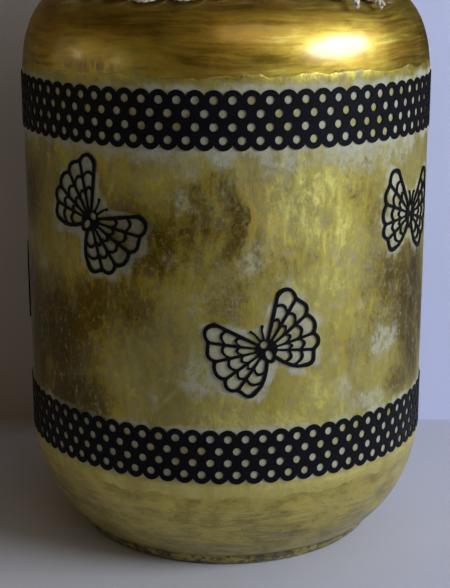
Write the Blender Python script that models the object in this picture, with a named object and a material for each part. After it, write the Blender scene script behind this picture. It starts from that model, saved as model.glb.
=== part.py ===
"""Mason jar lantern, in metres, +Z up.

A wide-mouth glass jar stands on the origin. It is wrapped in tissue paper, trimmed with two
black eyelet bands and seven black die-cut butterflies, and collared with lace and cord. A wire
round the neck carries a swinging bail handle, and a tea light stands on the jar's floor.
"""

import math

import bmesh
import bpy
from mathutils import Matrix, Quaternion, Vector

MM = 0.001
FIT_GAP = 0.3 * MM

# The jar: outside sizes and glass thickness
JAR_RADIUS = 49.0 * MM
WALL = 2.8 * MM
JAR_HEIGHT = 153.0 * MM
JAR_SEGMENTS = 48
FOOT_RADII = (34.0 * MM, 35.8 * MM)
HEEL_BOTTOM = 3.2 * MM
HEEL_TOP = 26.0 * MM
HEEL_SEMI_AXES = (29.9 * MM, 30.0 * MM)
SHOULDER_BASE = 115.0 * MM
SHOULDER_SEMI_AXES = (10.4 * MM, 18.1 * MM)
NECK_RADIUS = 38.8 * MM
NECK_BASE = 134.6 * MM
BEAD_Z = 143.0 * MM
BEAD_RADIUS = 40.6 * MM
MOUTH_RADIUS = 35.8 * MM
FLOOR_Z = 8.0 * MM

# The screw thread on the jar's finish
THREAD_START_Z = 146.0 * MM
THREAD_PITCH = 3.4 * MM
THREAD_TURNS = 1.15
THREAD_DEPTH = 1.0 * MM
THREAD_HALF_WIDTH = 1.0 * MM

# The thin layers on the glass, each on the one before
LAYER_GAP = 0.15 * MM
TISSUE_THICKNESS = 0.25 * MM
TISSUE_SPAN = (20.5 * MM, 118.5 * MM)
STICKER_GAP = 0.25 * MM
STICKER_THICKNESS = 0.25 * MM
STICKER_RADIUS = JAR_RADIUS + LAYER_GAP + TISSUE_THICKNESS + STICKER_GAP

# The two eyelet bands: four rows of dots, with a scallop round each outer dot
BAND_PITCHES = 78
BAND_ROW_STEP = 2.83 * MM
BAND_ROWS = 4
SCALLOP_RADIUS = 2.2 * MM
UPPER_BAND_Z = 107.95 * MM
LOWER_BAND_Z = 32.4 * MM

# The butterflies, each by its angle from the front, its height, its tilt and its size
BUTTERFLIES = {
    "butterfly_front": (10.4, 57.5 * MM, -25.6, 1.0),
    "butterfly_left": (-37.55, 84.6 * MM, 43.9, 1.02),
    "butterfly_right": (59.8, 83.2 * MM, 6.4, 0.98),
    "butterfly_far_left": (-95.4, 59.4 * MM, -12.0, 1.0),
    "butterfly_back_right": (112.0, 58.0 * MM, 32.0, 1.0),
    "butterfly_back": (163.0, 84.0 * MM, -28.0, 1.0),
    "butterfly_back_left": (-146.0, 83.0 * MM, 20.0, 1.0),
}
# A wing, in millimetres: its veins' angles from the head, how far each runs, the arcs' radii
# where they cross each vein, the lobes' peaks between the veins, and its rounded trailing edge
WING_ANGLES = (37.0, 56.4, 77.0, 100.5, 120.0, 145.0)
WING_CUSPS = (12.9, 13.5, 12.2, 11.8, 11.6, 9.6)
WING_ARCS = ((6.7, 6.2, 5.5, 5.1, 5.2, 5.4), (10.1, 9.5, 8.5, 8.1, 8.1, 7.7))
WING_PEAKS = (14.7, 13.5, 12.8, 12.7, 11.9)
WING_TRAIL = ((6.9, 153.5), (4.8, 159.0), (3.2, 164.0))
WING_ROOT = 2.4
WING_VEIN = 0.6
WING_MARGIN = 0.5
# The openings in its head and body, as (distance along the body, half width, half length)
BODY_OPENINGS = ((1.25, 0.8, 0.8), (-1.5, 0.65, 1.2))

# The neck wire and its two eyes
WIRE_RADIUS = 0.8 * MM
WIRE_Z = 139.9 * MM
WIRE_RING_RADIUS = NECK_RADIUS + FIT_GAP + WIRE_RADIUS
EYE_RADIUS = 2.7 * MM
EYE_X = 44.6 * MM
EYE_PITCH = 2.0 * MM
EYE_SPREAD = math.radians(16)
TWIST_RADIUS = WIRE_RADIUS + FIT_GAP / 2
TWIST_LENGTH = 7.0 * MM
TWIST_TURNS = 1.0
TWIST_BEND = 1.8 * MM

# The bail that swings in the eyes
PIVOT_Z = WIRE_Z + EYE_RADIUS
BAIL_WIRE_RADIUS = 0.9 * MM
BAIL_TIP_X = 42.2 * MM
BAIL_TIP_HEIGHT = 2.3 * MM
BAIL_HALF_WIDTH = 51.8 * MM
BAIL_CORNER = 2.4 * MM
BAIL_RISE = 96.0 * MM

# The lace collar, the cord over it and the cord's bow
LACE_TOP = 138.6 * MM
LACE_THICKNESS = 0.5 * MM
LACE_SCALLOPS = 30
LACE_EDGE_ANGLES = (75.0, 64.0)
CORD_RADIUS = 0.9 * MM
CORD_Z = 135.9 * MM
CORD_RING_RADIUS = NECK_RADIUS + FIT_GAP + LACE_THICKNESS + FIT_GAP + CORD_RADIUS
BOW_ANGLE = 42.0
BOW_KNOT = (2.5 * MM, 1.9 * MM, 2.1 * MM)

# The tea light, from the jar's floor up
CUP_RADIUS = 19.0 * MM
CUP_HEIGHT = 16.0 * MM
CUP_WALL = 0.4 * MM
CUP_Z = FLOOR_Z + FIT_GAP
WAX_Z = CUP_Z + CUP_WALL + FIT_GAP
WAX_HEIGHT = 12.5 * MM
TAB_RADIUS = 6.5 * MM
TAB_WALL = 0.4 * MM
TAB_HEIGHT = 3.2 * MM
WICK_RADIUS = 0.9 * MM
WICK_ABOVE_WAX = 7.0 * MM


def clear_scene():
    for old in list(bpy.data.objects):
        bpy.data.objects.remove(old, do_unlink=True)


def finish_material(name, colour, roughness, metallic=0.0, alpha=1.0):
    material = bpy.data.materials.new(name)
    material.use_nodes = True
    surface = material.node_tree.nodes["Principled BSDF"]
    surface.inputs["Base Color"].default_value = (*colour, 1.0)
    surface.inputs["Roughness"].default_value = roughness
    surface.inputs["Metallic"].default_value = metallic
    surface.inputs["Alpha"].default_value = alpha
    return material


def mesh_object(name, bm, material, sharp_angle=35.0):
    """Turns a bmesh into a smooth-shaded object with its faces pointing out."""
    bmesh.ops.recalc_face_normals(bm, faces=bm.faces)
    mesh = bpy.data.meshes.new(name)
    bm.to_mesh(mesh)
    bm.free()
    mesh.shade_smooth()
    mesh.set_sharp_from_angle(angle=math.radians(sharp_angle))
    mesh.materials.append(material)
    made = bpy.data.objects.new(name, mesh)
    bpy.context.scene.collection.objects.link(made)
    return made


def cutter(tool):
    """Hides an object that only shapes another one."""
    tool.hide_render = True
    tool.display_type = "WIRE"
    return tool


def unite(target, tool):
    join = target.modifiers.new(tool.name, "BOOLEAN")
    join.operation = "UNION"
    join.solver = "EXACT"
    join.object = cutter(tool)


def lathe(name, profile, segments, material):
    """Spins a closed (radius, z) outline about the Z axis."""
    bm = bmesh.new()
    corners = [bm.verts.new((radius, 0.0, z)) for radius, z in profile]
    outline = list(zip(corners, corners[1:] + corners[:1]))
    edges = [bm.edges.new(pair) for pair in outline if pair[0].co.x > 0 or pair[1].co.x > 0]
    bmesh.ops.spin(
        bm, geom=corners + edges, cent=(0, 0, 0), axis=(0, 0, 1),
        angle=2 * math.pi, steps=segments, use_merge=True,
    )
    bmesh.ops.remove_doubles(bm, verts=bm.verts, dist=0.001 * MM)
    return mesh_object(name, bm, material)


def skin_rings(bm, rings, closed):
    """Joins rings of points, one after another, with side faces and (if open) end faces."""
    loops = [[bm.verts.new(point) for point in ring] for ring in rings]
    following = loops[1:] + (loops[:1] if closed else [])
    for loop, after in zip(loops, following):
        for i, corner in enumerate(loop):
            j = (i + 1) % len(loop)
            bm.faces.new((corner, loop[j], after[j], after[i]))
    if not closed:
        bm.faces.new(loops[0])
        bm.faces.new(loops[-1])


def tube(name, points, radius, material, closed=False, sides=6):
    """A round wire or cord along a line of points."""
    count = len(points)
    before = [points[i - 1] if closed or i else points[0] for i in range(count)]
    after = [points[(i + 1) % count] if closed or i < count - 1 else points[-1] for i in range(count)]
    tangents = [(b - a).normalized() for a, b in zip(before, after)]
    normal = tangents[0].orthogonal().normalized()
    normals = [normal]
    for a, b in zip(tangents, tangents[1:]):
        normal = a.rotation_difference(b) @ normal
        normals.append(normal)
    slip = 0.0
    if closed:
        last = tangents[-1].rotation_difference(tangents[0]) @ normal
        slip = math.atan2(last.cross(normals[0]).dot(tangents[0]), last.dot(normals[0]))
    rings = []
    for i, (point, tangent) in enumerate(zip(points, tangents)):
        ring = []
        for k in range(sides):
            turn = 2 * math.pi * k / sides + slip * i / count
            ring.append(point + radius * (Quaternion(tangent, turn) @ normals[i]))
        rings.append(ring)
    bm = bmesh.new()
    skin_rings(bm, rings, closed)
    return mesh_object(name, bm, material, sharp_angle=75.0)


def arc(centre, semi_axes, start, end, count):
    """Points of an elliptical arc in the (radius, z) plane, with angles in degrees."""
    angles = [math.radians(start + (end - start) * i / (count - 1)) for i in range(count)]
    return [
        (centre[0] + semi_axes[0] * math.cos(a), centre[1] + semi_axes[1] * math.sin(a))
        for a in angles
    ]


def shoulder_point(degrees, height=0.0):
    """(radius, z) at an angle up the shoulder's ellipse, raised off the glass by height."""
    a, b = SHOULDER_SEMI_AXES
    turn = math.radians(degrees)
    normal = Vector((math.cos(turn) / a, math.sin(turn) / b)).normalized()
    radius = JAR_RADIUS - a + a * math.cos(turn) + height * normal.x
    return radius, SHOULDER_BASE + b * math.sin(turn) + height * normal.y


def heel_radius(z):
    """Outside radius of the jar between its heel's bottom and top."""
    a, b = HEEL_SEMI_AXES
    drop = max(0.0, HEEL_TOP - z) / b
    return JAR_RADIUS - a + a * math.sqrt(1 - drop * drop)


def place(radius, degrees, z):
    """A point by its angle from the front (-Y), turning towards +X."""
    turn = math.radians(degrees)
    return Vector((radius * math.sin(turn), -radius * math.cos(turn), z))


# ---- the jar and what is glued to it ----

def jar_profile():
    a, b = HEEL_SEMI_AXES
    low = math.degrees(math.asin((HEEL_TOP - HEEL_BOTTOM) / b))
    outside = [(0.0, 3.6 * MM), (24.0 * MM, 2.6 * MM), (32.6 * MM, 0.8 * MM)]
    outside += [(FOOT_RADII[0], 0.0), (FOOT_RADII[1], 0.0), (37.5 * MM, 1.1 * MM)]
    outside += arc((JAR_RADIUS - a, HEEL_TOP), (a, b), -low, 0, 6)
    outside += [shoulder_point(degrees) for degrees in (0, 20, 38, 54, 68, 79)]
    outside += [(NECK_RADIUS + 0.5 * MM, 133.5 * MM), (NECK_RADIUS, NECK_BASE)]
    outside += [(NECK_RADIUS, BEAD_Z - 1.5 * MM), (BEAD_RADIUS, BEAD_Z - 0.7 * MM)]
    outside += [(BEAD_RADIUS, BEAD_Z + 0.7 * MM), (NECK_RADIUS, BEAD_Z + 1.5 * MM)]
    outside += [(NECK_RADIUS, JAR_HEIGHT - 1.1 * MM), (NECK_RADIUS - 1.0 * MM, JAR_HEIGHT)]
    under_shoulder = [
        (radius - WALL, z - 0.4 * WALL)
        for radius, z in [shoulder_point(degrees) for degrees in (62, 34, 0)]
    ]
    inside = [(MOUTH_RADIUS + 0.6 * MM, JAR_HEIGHT), (MOUTH_RADIUS, JAR_HEIGHT - 0.9 * MM)]
    inside += [(MOUTH_RADIUS, 132.0 * MM), *under_shoulder, (JAR_RADIUS - WALL, 27.0 * MM)]
    inside += [(44.2 * MM, 16.0 * MM), (39.6 * MM, 10.4 * MM), (33.0 * MM, FLOOR_Z + 0.3 * MM)]
    inside += [(27.0 * MM, FLOOR_Z), (0.0, FLOOR_Z)]
    return outside + inside


def thread_ridge(material):
    """The helical ridge that a lid screws onto, rooted inside the neck's wall."""
    steps = round(THREAD_TURNS * JAR_SEGMENTS * 0.75)
    rings = []
    for i in range(steps + 1):
        share = i / steps
        swell = min(1.0, 8 * share + 0.3, 8 * (1 - share) + 0.3)
        z = THREAD_START_Z + THREAD_PITCH * THREAD_TURNS * share
        crest = NECK_RADIUS + THREAD_DEPTH * swell
        root = NECK_RADIUS - 0.6 * MM
        half = THREAD_HALF_WIDTH * swell
        section = ((root, z - half), (crest, z - half / 3), (crest, z + half / 3), (root, z + half))
        turn = 360 * THREAD_TURNS * share + 33
        rings.append([place(radius, turn, height) for radius, height in section])
    bm = bmesh.new()
    skin_rings(bm, rings, closed=False)
    return mesh_object("thread_ridge", bm, material)


def build_jar(material):
    jar = lathe("glass_jar", jar_profile(), JAR_SEGMENTS, material)
    unite(jar, thread_ridge(material))


def build_tissue(material):
    """The tissue sleeve, which laps a little over the heel and the start of the shoulder."""
    low, high = TISSUE_SPAN
    over_shoulder = math.degrees(math.asin((high - SHOULDER_BASE) / SHOULDER_SEMI_AXES[1]))
    inner = [(heel_radius(low) + LAYER_GAP, low), (JAR_RADIUS + LAYER_GAP, HEEL_TOP)]
    inner += [shoulder_point(0, LAYER_GAP), shoulder_point(over_shoulder, LAYER_GAP)]
    outer = [(radius + TISSUE_THICKNESS, z) for radius, z in inner]
    lathe("tissue_wrap", outer + inner[::-1], JAR_SEGMENTS, material)


def build_band(name, centre_z, material):
    """A black strip whose scallops along one edge are half a pitch out of step with the other's."""
    half_rows = BAND_ROW_STEP * (BAND_ROWS - 1) / 2
    half_pitch = math.pi * STICKER_RADIUS / BAND_PITCHES
    cusp = math.sqrt(SCALLOP_RADIUS**2 - half_pitch**2)
    outer = STICKER_RADIUS + STICKER_THICKNESS
    sections = []
    for i in range(2 * BAND_PITCHES):
        top, bottom = (SCALLOP_RADIUS, cusp) if i % 2 else (cusp, SCALLOP_RADIUS)
        low, high = centre_z - half_rows - bottom, centre_z + half_rows + top
        turn = 360 * i / (2 * BAND_PITCHES)
        corners = ((STICKER_RADIUS, low), (outer, low), (outer, high), (STICKER_RADIUS, high))
        sections.append([place(radius, turn, z) for radius, z in corners])
    bm = bmesh.new()
    skin_rings(bm, sections, closed=True)
    mesh_object(name, bm, material)


def fan_point(distance, degrees, side):
    """A flat point of a butterfly, by its distance from the body and its angle from the head."""
    turn = math.radians(degrees)
    return Vector((side * distance * math.sin(turn), distance * math.cos(turn))) * MM


def wing_edge(side):
    """An antenna and the wing beside it, from the head round the scallops to the tail."""
    edge = [fan_point(2.5, 8, side), fan_point(5.7, 13, side), fan_point(5.5, 18, side)]
    edge += [fan_point(2.5, 24, side), fan_point(WING_CUSPS[0], WING_ANGLES[0] - 1.8, side)]
    for i, peak in enumerate(WING_PEAKS):
        start, end = WING_ANGLES[i], WING_ANGLES[i + 1]
        edge.append(fan_point(peak, start + 0.32 * (end - start), side))
        edge.append(fan_point(peak, start + 0.68 * (end - start), side))
        edge.append(fan_point(WING_CUSPS[i + 1], end + (2.4 if end == WING_ANGLES[-1] else 0), side))
    edge += [fan_point(distance, degrees, side) for distance, degrees in WING_TRAIL]
    return edge


def wing_windows(side):
    """The openings between a wing's veins: three in each sector, one beyond another."""
    inner, outer = WING_ARCS
    windows = []
    for i in range(len(WING_PEAKS)):
        start, end = WING_ANGLES[i], WING_ANGLES[i + 1]
        for level in range(3):
            corners = []
            for vein, angle, inward in ((i, start, 1), (i + 1, end, -1)):
                near = (WING_ROOT, inner[vein] + WING_VEIN / 2, outer[vein] + WING_VEIN / 2)[level]
                rim = WING_CUSPS[vein] - WING_MARGIN
                far = (inner[vein] - WING_VEIN / 2, outer[vein] - WING_VEIN / 2, rim)[level]
                edge = [(r, angle + inward * math.degrees(WING_VEIN / 2 / r)) for r in (near, far)]
                corners += edge if inward == 1 else edge[::-1]
            windows.append([fan_point(distance, angle, side) for distance, angle in corners])
    return windows


def body_openings():
    loops = []
    for along, half_width, half_length in BODY_OPENINGS:
        turns = [math.radians(60 * k) for k in range(6)]
        loops.append([
            Vector((half_width * math.sin(a), along + half_length * math.cos(a))) * MM
            for a in turns
        ])
    return loops


def build_butterfly(name, degrees, height, tilt, size, material):
    """A flat die-cut sheet with its openings, turned by its tilt and bent round the jar."""
    outline = [fan_point(2.7, 0, 1), *wing_edge(1), fan_point(3.5, 180, 1), *wing_edge(-1)[::-1]]
    bm = bmesh.new()
    for loop in [outline, *wing_windows(1), *wing_windows(-1), *body_openings()]:
        corners = [bm.verts.new((*point, 0.0)) for point in loop]
        for a, b in zip(corners, corners[1:] + corners[:1]):
            bm.edges.new((a, b))
    bmesh.ops.triangle_fill(bm, use_beauty=True, edges=bm.edges)
    sheet = bmesh.ops.extrude_face_region(bm, geom=bm.faces[:])
    for corner in (part for part in sheet["geom"] if isinstance(part, bmesh.types.BMVert)):
        corner.co.z += STICKER_THICKNESS
    turn = Matrix.Rotation(-math.radians(tilt), 3, "Z")
    for corner in bm.verts:
        flat = turn @ Vector((corner.co.x * size, corner.co.y * size, corner.co.z))
        around = degrees + math.degrees(flat.x / STICKER_RADIUS)
        corner.co = place(STICKER_RADIUS + flat.z, around, height + flat.y)
    mesh_object(name, bm, material)


# ---- the neck wire and the bail ----

def eye_turn():
    """One coil turn of the neck wire at +X, round the bail's pivot."""
    points = []
    for i in range(13):
        turn = 2 * math.pi * i / 12
        rise = EYE_RADIUS * (1 - math.cos(turn))
        points.append(Vector((EYE_X + EYE_PITCH * i / 12, EYE_RADIUS * math.sin(turn), WIRE_Z + rise)))
    return points


def neck_arc(start, end, out_at_start, out_at_end, count):
    """Points of the neck ring between two angles from +X, swelling out towards an eye."""
    points = []
    for i in range(count):
        turn = start + (end - start) * i / (count - 1)
        near_start = max(0.0, 1 - abs(turn - start) / EYE_SPREAD)
        near_end = max(0.0, 1 - abs(turn - end) / EYE_SPREAD)
        swell = out_at_start * near_start**2 * (3 - 2 * near_start)
        swell += out_at_end * near_end**2 * (3 - 2 * near_end)
        radius = WIRE_RING_RADIUS + swell
        points.append(Vector((radius * math.cos(turn), radius * math.sin(turn), WIRE_Z)))
    return points


def twisted_end(side):
    """One of the two wire ends, bent outwards at the back and twisted round the other."""
    bend_y = WIRE_RING_RADIUS + TWIST_BEND
    centre = Vector((side * (TWIST_RADIUS + TWIST_BEND), bend_y, WIRE_Z))
    points = []
    for degrees in (30, 60, 90):
        turn = math.radians(degrees)
        points.append(centre - Vector((side * math.sin(turn), math.cos(turn), 0)) * TWIST_BEND)
    steps = 12
    for i in range(1, steps + 1):
        turn = 2 * math.pi * TWIST_TURNS * i / steps
        x = side * TWIST_RADIUS * math.cos(turn)
        z = WIRE_Z + side * TWIST_RADIUS * math.sin(turn)
        points.append(Vector((x, bend_y + TWIST_LENGTH * i / steps, z)))
    return points


def build_neck_wire(material):
    """One length of wire: twisted end, round the neck by way of both eyes, twisted end."""
    inner, outer = EYE_X - WIRE_RING_RADIUS, EYE_X + EYE_PITCH - WIRE_RING_RADIUS
    opening = math.asin((TWIST_RADIUS + TWIST_BEND) / WIRE_RING_RADIUS)
    half_turn = Matrix.Rotation(math.pi, 3, "Z")
    path = twisted_end(-1)[::-1]
    path += neck_arc(math.pi / 2 + opening, math.pi, 0, inner, 15)[:-1]
    path += [half_turn @ point for point in eye_turn()]
    path += neck_arc(math.pi, 2 * math.pi, outer, inner, 31)[1:-1]
    path += eye_turn()
    path += neck_arc(0, math.pi / 2 - opening, outer, 0, 15)[1:]
    path += twisted_end(1)
    tube("neck_wire", path, WIRE_RADIUS, material)


def bail_end(side):
    """Half of the bail about its pivot: upturned tip, run through the eye, corner, foot of arch."""
    corner = BAIL_CORNER
    points = [(BAIL_TIP_X, BAIL_TIP_HEIGHT), (BAIL_TIP_X, 0.6 * corner)]
    points += [(BAIL_TIP_X + 0.18 * corner, 0.18 * corner), (BAIL_TIP_X + 0.6 * corner, 0.0)]
    points += [(BAIL_HALF_WIDTH - corner, 0.0)]
    for degrees in (30, 60):
        turn = math.radians(degrees)
        reach = (math.sin(turn), 1 - math.cos(turn))
        points.append((BAIL_HALF_WIDTH - corner + corner * reach[0], corner * reach[1]))
    return [Vector((side * x, 0.0, z)) for x, z in points]


def build_bail(material):
    """A tall arch of wire, on an origin at the pivot."""
    arch = []
    for i in range(37):
        turn = math.pi * i / 36
        x, rise = BAIL_HALF_WIDTH * math.cos(turn), (BAIL_RISE - BAIL_CORNER) * math.sin(turn)
        arch.append(Vector((x, 0.0, BAIL_CORNER + rise)))
    path = bail_end(1) + arch + bail_end(-1)[::-1]
    bail = tube("bail_handle", path, BAIL_WIRE_RADIUS, material)
    bail.location = (0, 0, PIVOT_Z)


# ---- the lace collar and its cord ----

def build_lace(material):
    """A gathered strip round the neck that spreads over the shoulder in scallops."""
    gaps = (FIT_GAP, FIT_GAP + LACE_THICKNESS)
    sections = []
    for i in range(2 * LACE_SCALLOPS):
        edge = LACE_EDGE_ANGLES[i % 2]
        section = []
        for gap in gaps:
            layer = [(NECK_RADIUS + gap, LACE_TOP), (NECK_RADIUS + gap, NECK_BASE + 0.9 * MM)]
            layer += [shoulder_point(81, gap), shoulder_point(edge, gap)]
            section += layer if gap == FIT_GAP else layer[::-1]
        sections.append([place(radius, 180 * i / LACE_SCALLOPS, z) for radius, z in section])
    bm = bmesh.new()
    skin_rings(bm, sections, closed=True)
    mesh_object("lace_trim", bm, material)


def build_cord(material):
    steps = 48
    ring = [place(CORD_RING_RADIUS, 360 * i / steps, CORD_Z) for i in range(steps)]
    tube("neck_cord", ring, CORD_RADIUS, material, closed=True)


def bow_loop(side, material):
    points = []
    for i in range(14):
        turn = 2 * math.pi * i / 14
        along, across = 6.0 - 5.0 * math.cos(turn), 2.3 * math.sin(turn)
        sideways, up = along - 0.2 * across, 0.3 * along + across
        points.append(Vector((side * sideways, -2.0 - 0.1 * along, up)) * MM)
    return tube("bow_loop", points, CORD_RADIUS * 0.9, material, closed=True)


def bow_tail(side, material):
    points = [(0.4, -1.9, -0.3), (2.0, -2.6, -1.9), (3.4, -3.4, -3.6), (4.3, -4.3, -5.4)]
    points = [Vector((side * x, y, z)) * MM for x, y, z in points]
    return tube("bow_tail", points, CORD_RADIUS * 0.9, material)


def build_bow(material):
    """The cord's knot, two loops and two short tails, standing off the cord at the right front."""
    bm = bmesh.new()
    bmesh.ops.create_uvsphere(bm, u_segments=12, v_segments=8, radius=1.0)
    bmesh.ops.scale(bm, vec=BOW_KNOT, verts=bm.verts)
    bmesh.ops.translate(bm, vec=(0.0, -BOW_KNOT[1], 0.0), verts=bm.verts)
    knot = mesh_object("cord_bow", bm, material, sharp_angle=60.0)
    reach = CORD_RING_RADIUS + CORD_RADIUS + FIT_GAP
    for side in (-1, 1):
        for part in (bow_loop(side, material), bow_tail(side, material)):
            part.parent = knot
            unite(knot, part)
    knot.location = place(reach, BOW_ANGLE, CORD_Z)
    knot.rotation_euler = (0, 0, math.radians(BOW_ANGLE))


# ---- the tea light ----

def build_candle(foil, wax, tin, cotton):
    inner, rim = CUP_RADIUS - CUP_WALL, CUP_RADIUS + 0.5 * MM
    top = CUP_Z + CUP_HEIGHT
    cup = [(0.0, CUP_Z), (18.2 * MM, CUP_Z), (CUP_RADIUS, CUP_Z + 0.8 * MM)]
    cup += [(CUP_RADIUS, top - 0.6 * MM), (rim, top - 0.4 * MM), (rim, top), (inner, top)]
    cup += [(inner, CUP_Z + 1.0 * MM), (18.0 * MM, CUP_Z + CUP_WALL), (0.0, CUP_Z + CUP_WALL)]
    lathe("candle_cup", cup, 32, foil)

    wick_hole = WICK_RADIUS + FIT_GAP
    tube_hole = wick_hole + TAB_WALL + FIT_GAP
    recess = TAB_RADIUS + FIT_GAP
    recess_top = WAX_Z + TAB_WALL + FIT_GAP
    wax_top = WAX_Z + WAX_HEIGHT
    tube_top = WAX_Z + TAB_HEIGHT + FIT_GAP
    edge = inner - FIT_GAP
    body = [(recess, WAX_Z), (17.4 * MM, WAX_Z), (edge, WAX_Z + 0.9 * MM)]
    body += [(edge, wax_top - 0.5 * MM), (edge - 0.8 * MM, wax_top), (wick_hole, wax_top)]
    body += [(wick_hole, tube_top), (tube_hole, tube_top), (tube_hole, recess_top)]
    body += [(recess, recess_top)]
    lathe("candle_wax", body, 32, wax)

    tab = [(wick_hole, WAX_Z), (TAB_RADIUS, WAX_Z), (TAB_RADIUS, WAX_Z + TAB_WALL)]
    tab += [(wick_hole + TAB_WALL, WAX_Z + TAB_WALL), (wick_hole + TAB_WALL, WAX_Z + TAB_HEIGHT)]
    tab += [(wick_hole, WAX_Z + TAB_HEIGHT)]
    lathe("wick_tab", tab, 24, tin)

    tip = wax_top + WICK_ABOVE_WAX
    bend = [(0.0, WAX_Z), (0.0, wax_top), (0.2, wax_top + 2.5 * MM), (0.9, tip - 2.0 * MM), (1.9, tip)]
    tube("wick", [Vector((x * MM, 0.0, z)) for x, z in bend], WICK_RADIUS, cotton, sides=8)


def build():
    clear_scene()
    glass = finish_material("gold_painted_glass", (0.46, 0.30, 0.10), 0.25, metallic=0.3, alpha=0.8)
    tissue = finish_material("gilded_tissue", (0.62, 0.52, 0.36), 0.6)
    black = finish_material("black_sticker", (0.012, 0.012, 0.016), 0.35)
    steel = finish_material("galvanised_wire", (0.55, 0.55, 0.54), 0.35, metallic=1.0)
    lace = finish_material("cotton_lace", (0.85, 0.80, 0.70), 0.9)
    cord = finish_material("cotton_cord", (0.70, 0.62, 0.48), 0.9)
    foil = finish_material("aluminium", (0.80, 0.80, 0.81), 0.3, metallic=1.0)
    wax = finish_material("white_wax", (0.90, 0.87, 0.80), 0.45)
    tin = finish_material("tinned_steel", (0.60, 0.60, 0.60), 0.35, metallic=1.0)
    cotton = finish_material("cotton_wick", (0.80, 0.76, 0.68), 0.95)

    build_jar(glass)
    build_tissue(tissue)
    build_band("upper_eyelet_band", UPPER_BAND_Z, black)
    build_band("lower_eyelet_band", LOWER_BAND_Z, black)
    for name, spot in BUTTERFLIES.items():
        build_butterfly(name, *spot, black)
    build_neck_wire(steel)
    build_bail(steel)
    build_lace(lace)
    build_cord(cord)
    build_bow(cord)
    build_candle(foil, wax, tin, cotton)


build()
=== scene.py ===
"""Decorated jar lantern: the visual model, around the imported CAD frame. Metres, +Z up."""

import math

import bmesh
import bpy
import numpy as np
from mathutils import Matrix, Quaternion, Vector, noise

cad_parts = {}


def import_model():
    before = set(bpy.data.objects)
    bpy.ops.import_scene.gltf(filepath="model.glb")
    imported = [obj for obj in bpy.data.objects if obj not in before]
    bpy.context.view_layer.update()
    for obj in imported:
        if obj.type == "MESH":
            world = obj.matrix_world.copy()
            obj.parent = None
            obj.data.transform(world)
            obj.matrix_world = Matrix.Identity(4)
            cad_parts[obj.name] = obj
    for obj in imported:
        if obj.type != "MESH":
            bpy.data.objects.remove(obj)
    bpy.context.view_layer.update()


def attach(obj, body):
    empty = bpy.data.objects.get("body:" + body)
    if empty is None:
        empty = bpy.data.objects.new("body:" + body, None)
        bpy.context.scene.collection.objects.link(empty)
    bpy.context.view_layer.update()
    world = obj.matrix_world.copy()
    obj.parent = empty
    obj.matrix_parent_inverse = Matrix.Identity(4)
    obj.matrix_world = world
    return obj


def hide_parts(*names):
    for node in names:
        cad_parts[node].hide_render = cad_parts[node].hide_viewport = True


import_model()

MM = 0.001
rng = np.random.default_rng(11)

# Heights and radii, in millimetres; the heel and the shoulder are quarter ellipses, each by the
# height where it meets the cylinder, its radial semi-axis and its vertical one
R = 49.0
HEEL = (26.0, 29.9, 30.0)
SHOULDER = (115.0, 10.4, 18.1)
NECK_R = 38.8
BEAD_Z, BEAD_R = 143.0, 40.6
JAR_TOP = 153.0
MOUTH_R = 35.8
FLOOR_Z = 8.0
TISSUE_LOW, TISSUE_HIGH, TISSUE_T = 20.8, 118.2, 0.07
TISSUE_LIFT, CREASE_RISE, EDGE_SINK = 0.17, 0.12, 0.05
STICKER_R, STICKER_T, STICKER_BEVEL, BUTTERFLY_T = 49.26, 0.18, 0.07, 0.24
SHEET_SHARP = 35.0

BAND_PITCHES, BAND_STEP, SCALLOP_R, HOLE_R = 78, 2.83, 2.2, 0.9
BAND_ROWS, BAND_REACH = 4, 6.2
# Each band's centre height, its turn in degrees, and how far the pale tissue fades below and above
BANDS = {"upper_eyelet_band": (107.95, 1.6, 5.0, 2.6), "lower_eyelet_band": (32.4, 0.5, 0.8, 2.2)}
# Each butterfly's angle from the front, height, tilt and size
BUTTERFLIES = {
    "butterfly_front": (10.4, 57.5, -25.6, 1.0),
    "butterfly_left": (-37.55, 84.6, 43.9, 1.02),
    "butterfly_right": (59.8, 83.2, 6.4, 0.98),
    "butterfly_far_left": (-95.4, 59.4, -12.0, 1.0),
    "butterfly_back_right": (112.0, 58.0, 32.0, 1.0),
    "butterfly_back": (163.0, 84.0, -28.0, 1.0),
    "butterfly_back_left": (-146.0, 83.0, 20.0, 1.0),
}
# A wing: its veins' angles from the head and reaches, the cross veins' radii there, the lobes'
# peaks between the veins, and the trailing edge as (radius, angle)
WING_ANGLES = (37.0, 56.4, 77.0, 100.5, 120.0, 145.0)
WING_CUSPS = (12.9, 13.5, 12.2, 11.8, 11.6, 9.6)
WING_ARCS = ((6.7, 6.2, 5.5, 5.1, 5.2, 5.4), (10.1, 9.5, 8.5, 8.1, 8.1, 7.7))
WING_PEAKS = (14.7, 13.5, 12.8, 12.7, 11.9)
WING_TRAIL = ((2.6, 167.0), (4.8, 159.0), (6.9, 153.5), (8.6, 149.0), (9.6, 145.0))

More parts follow.
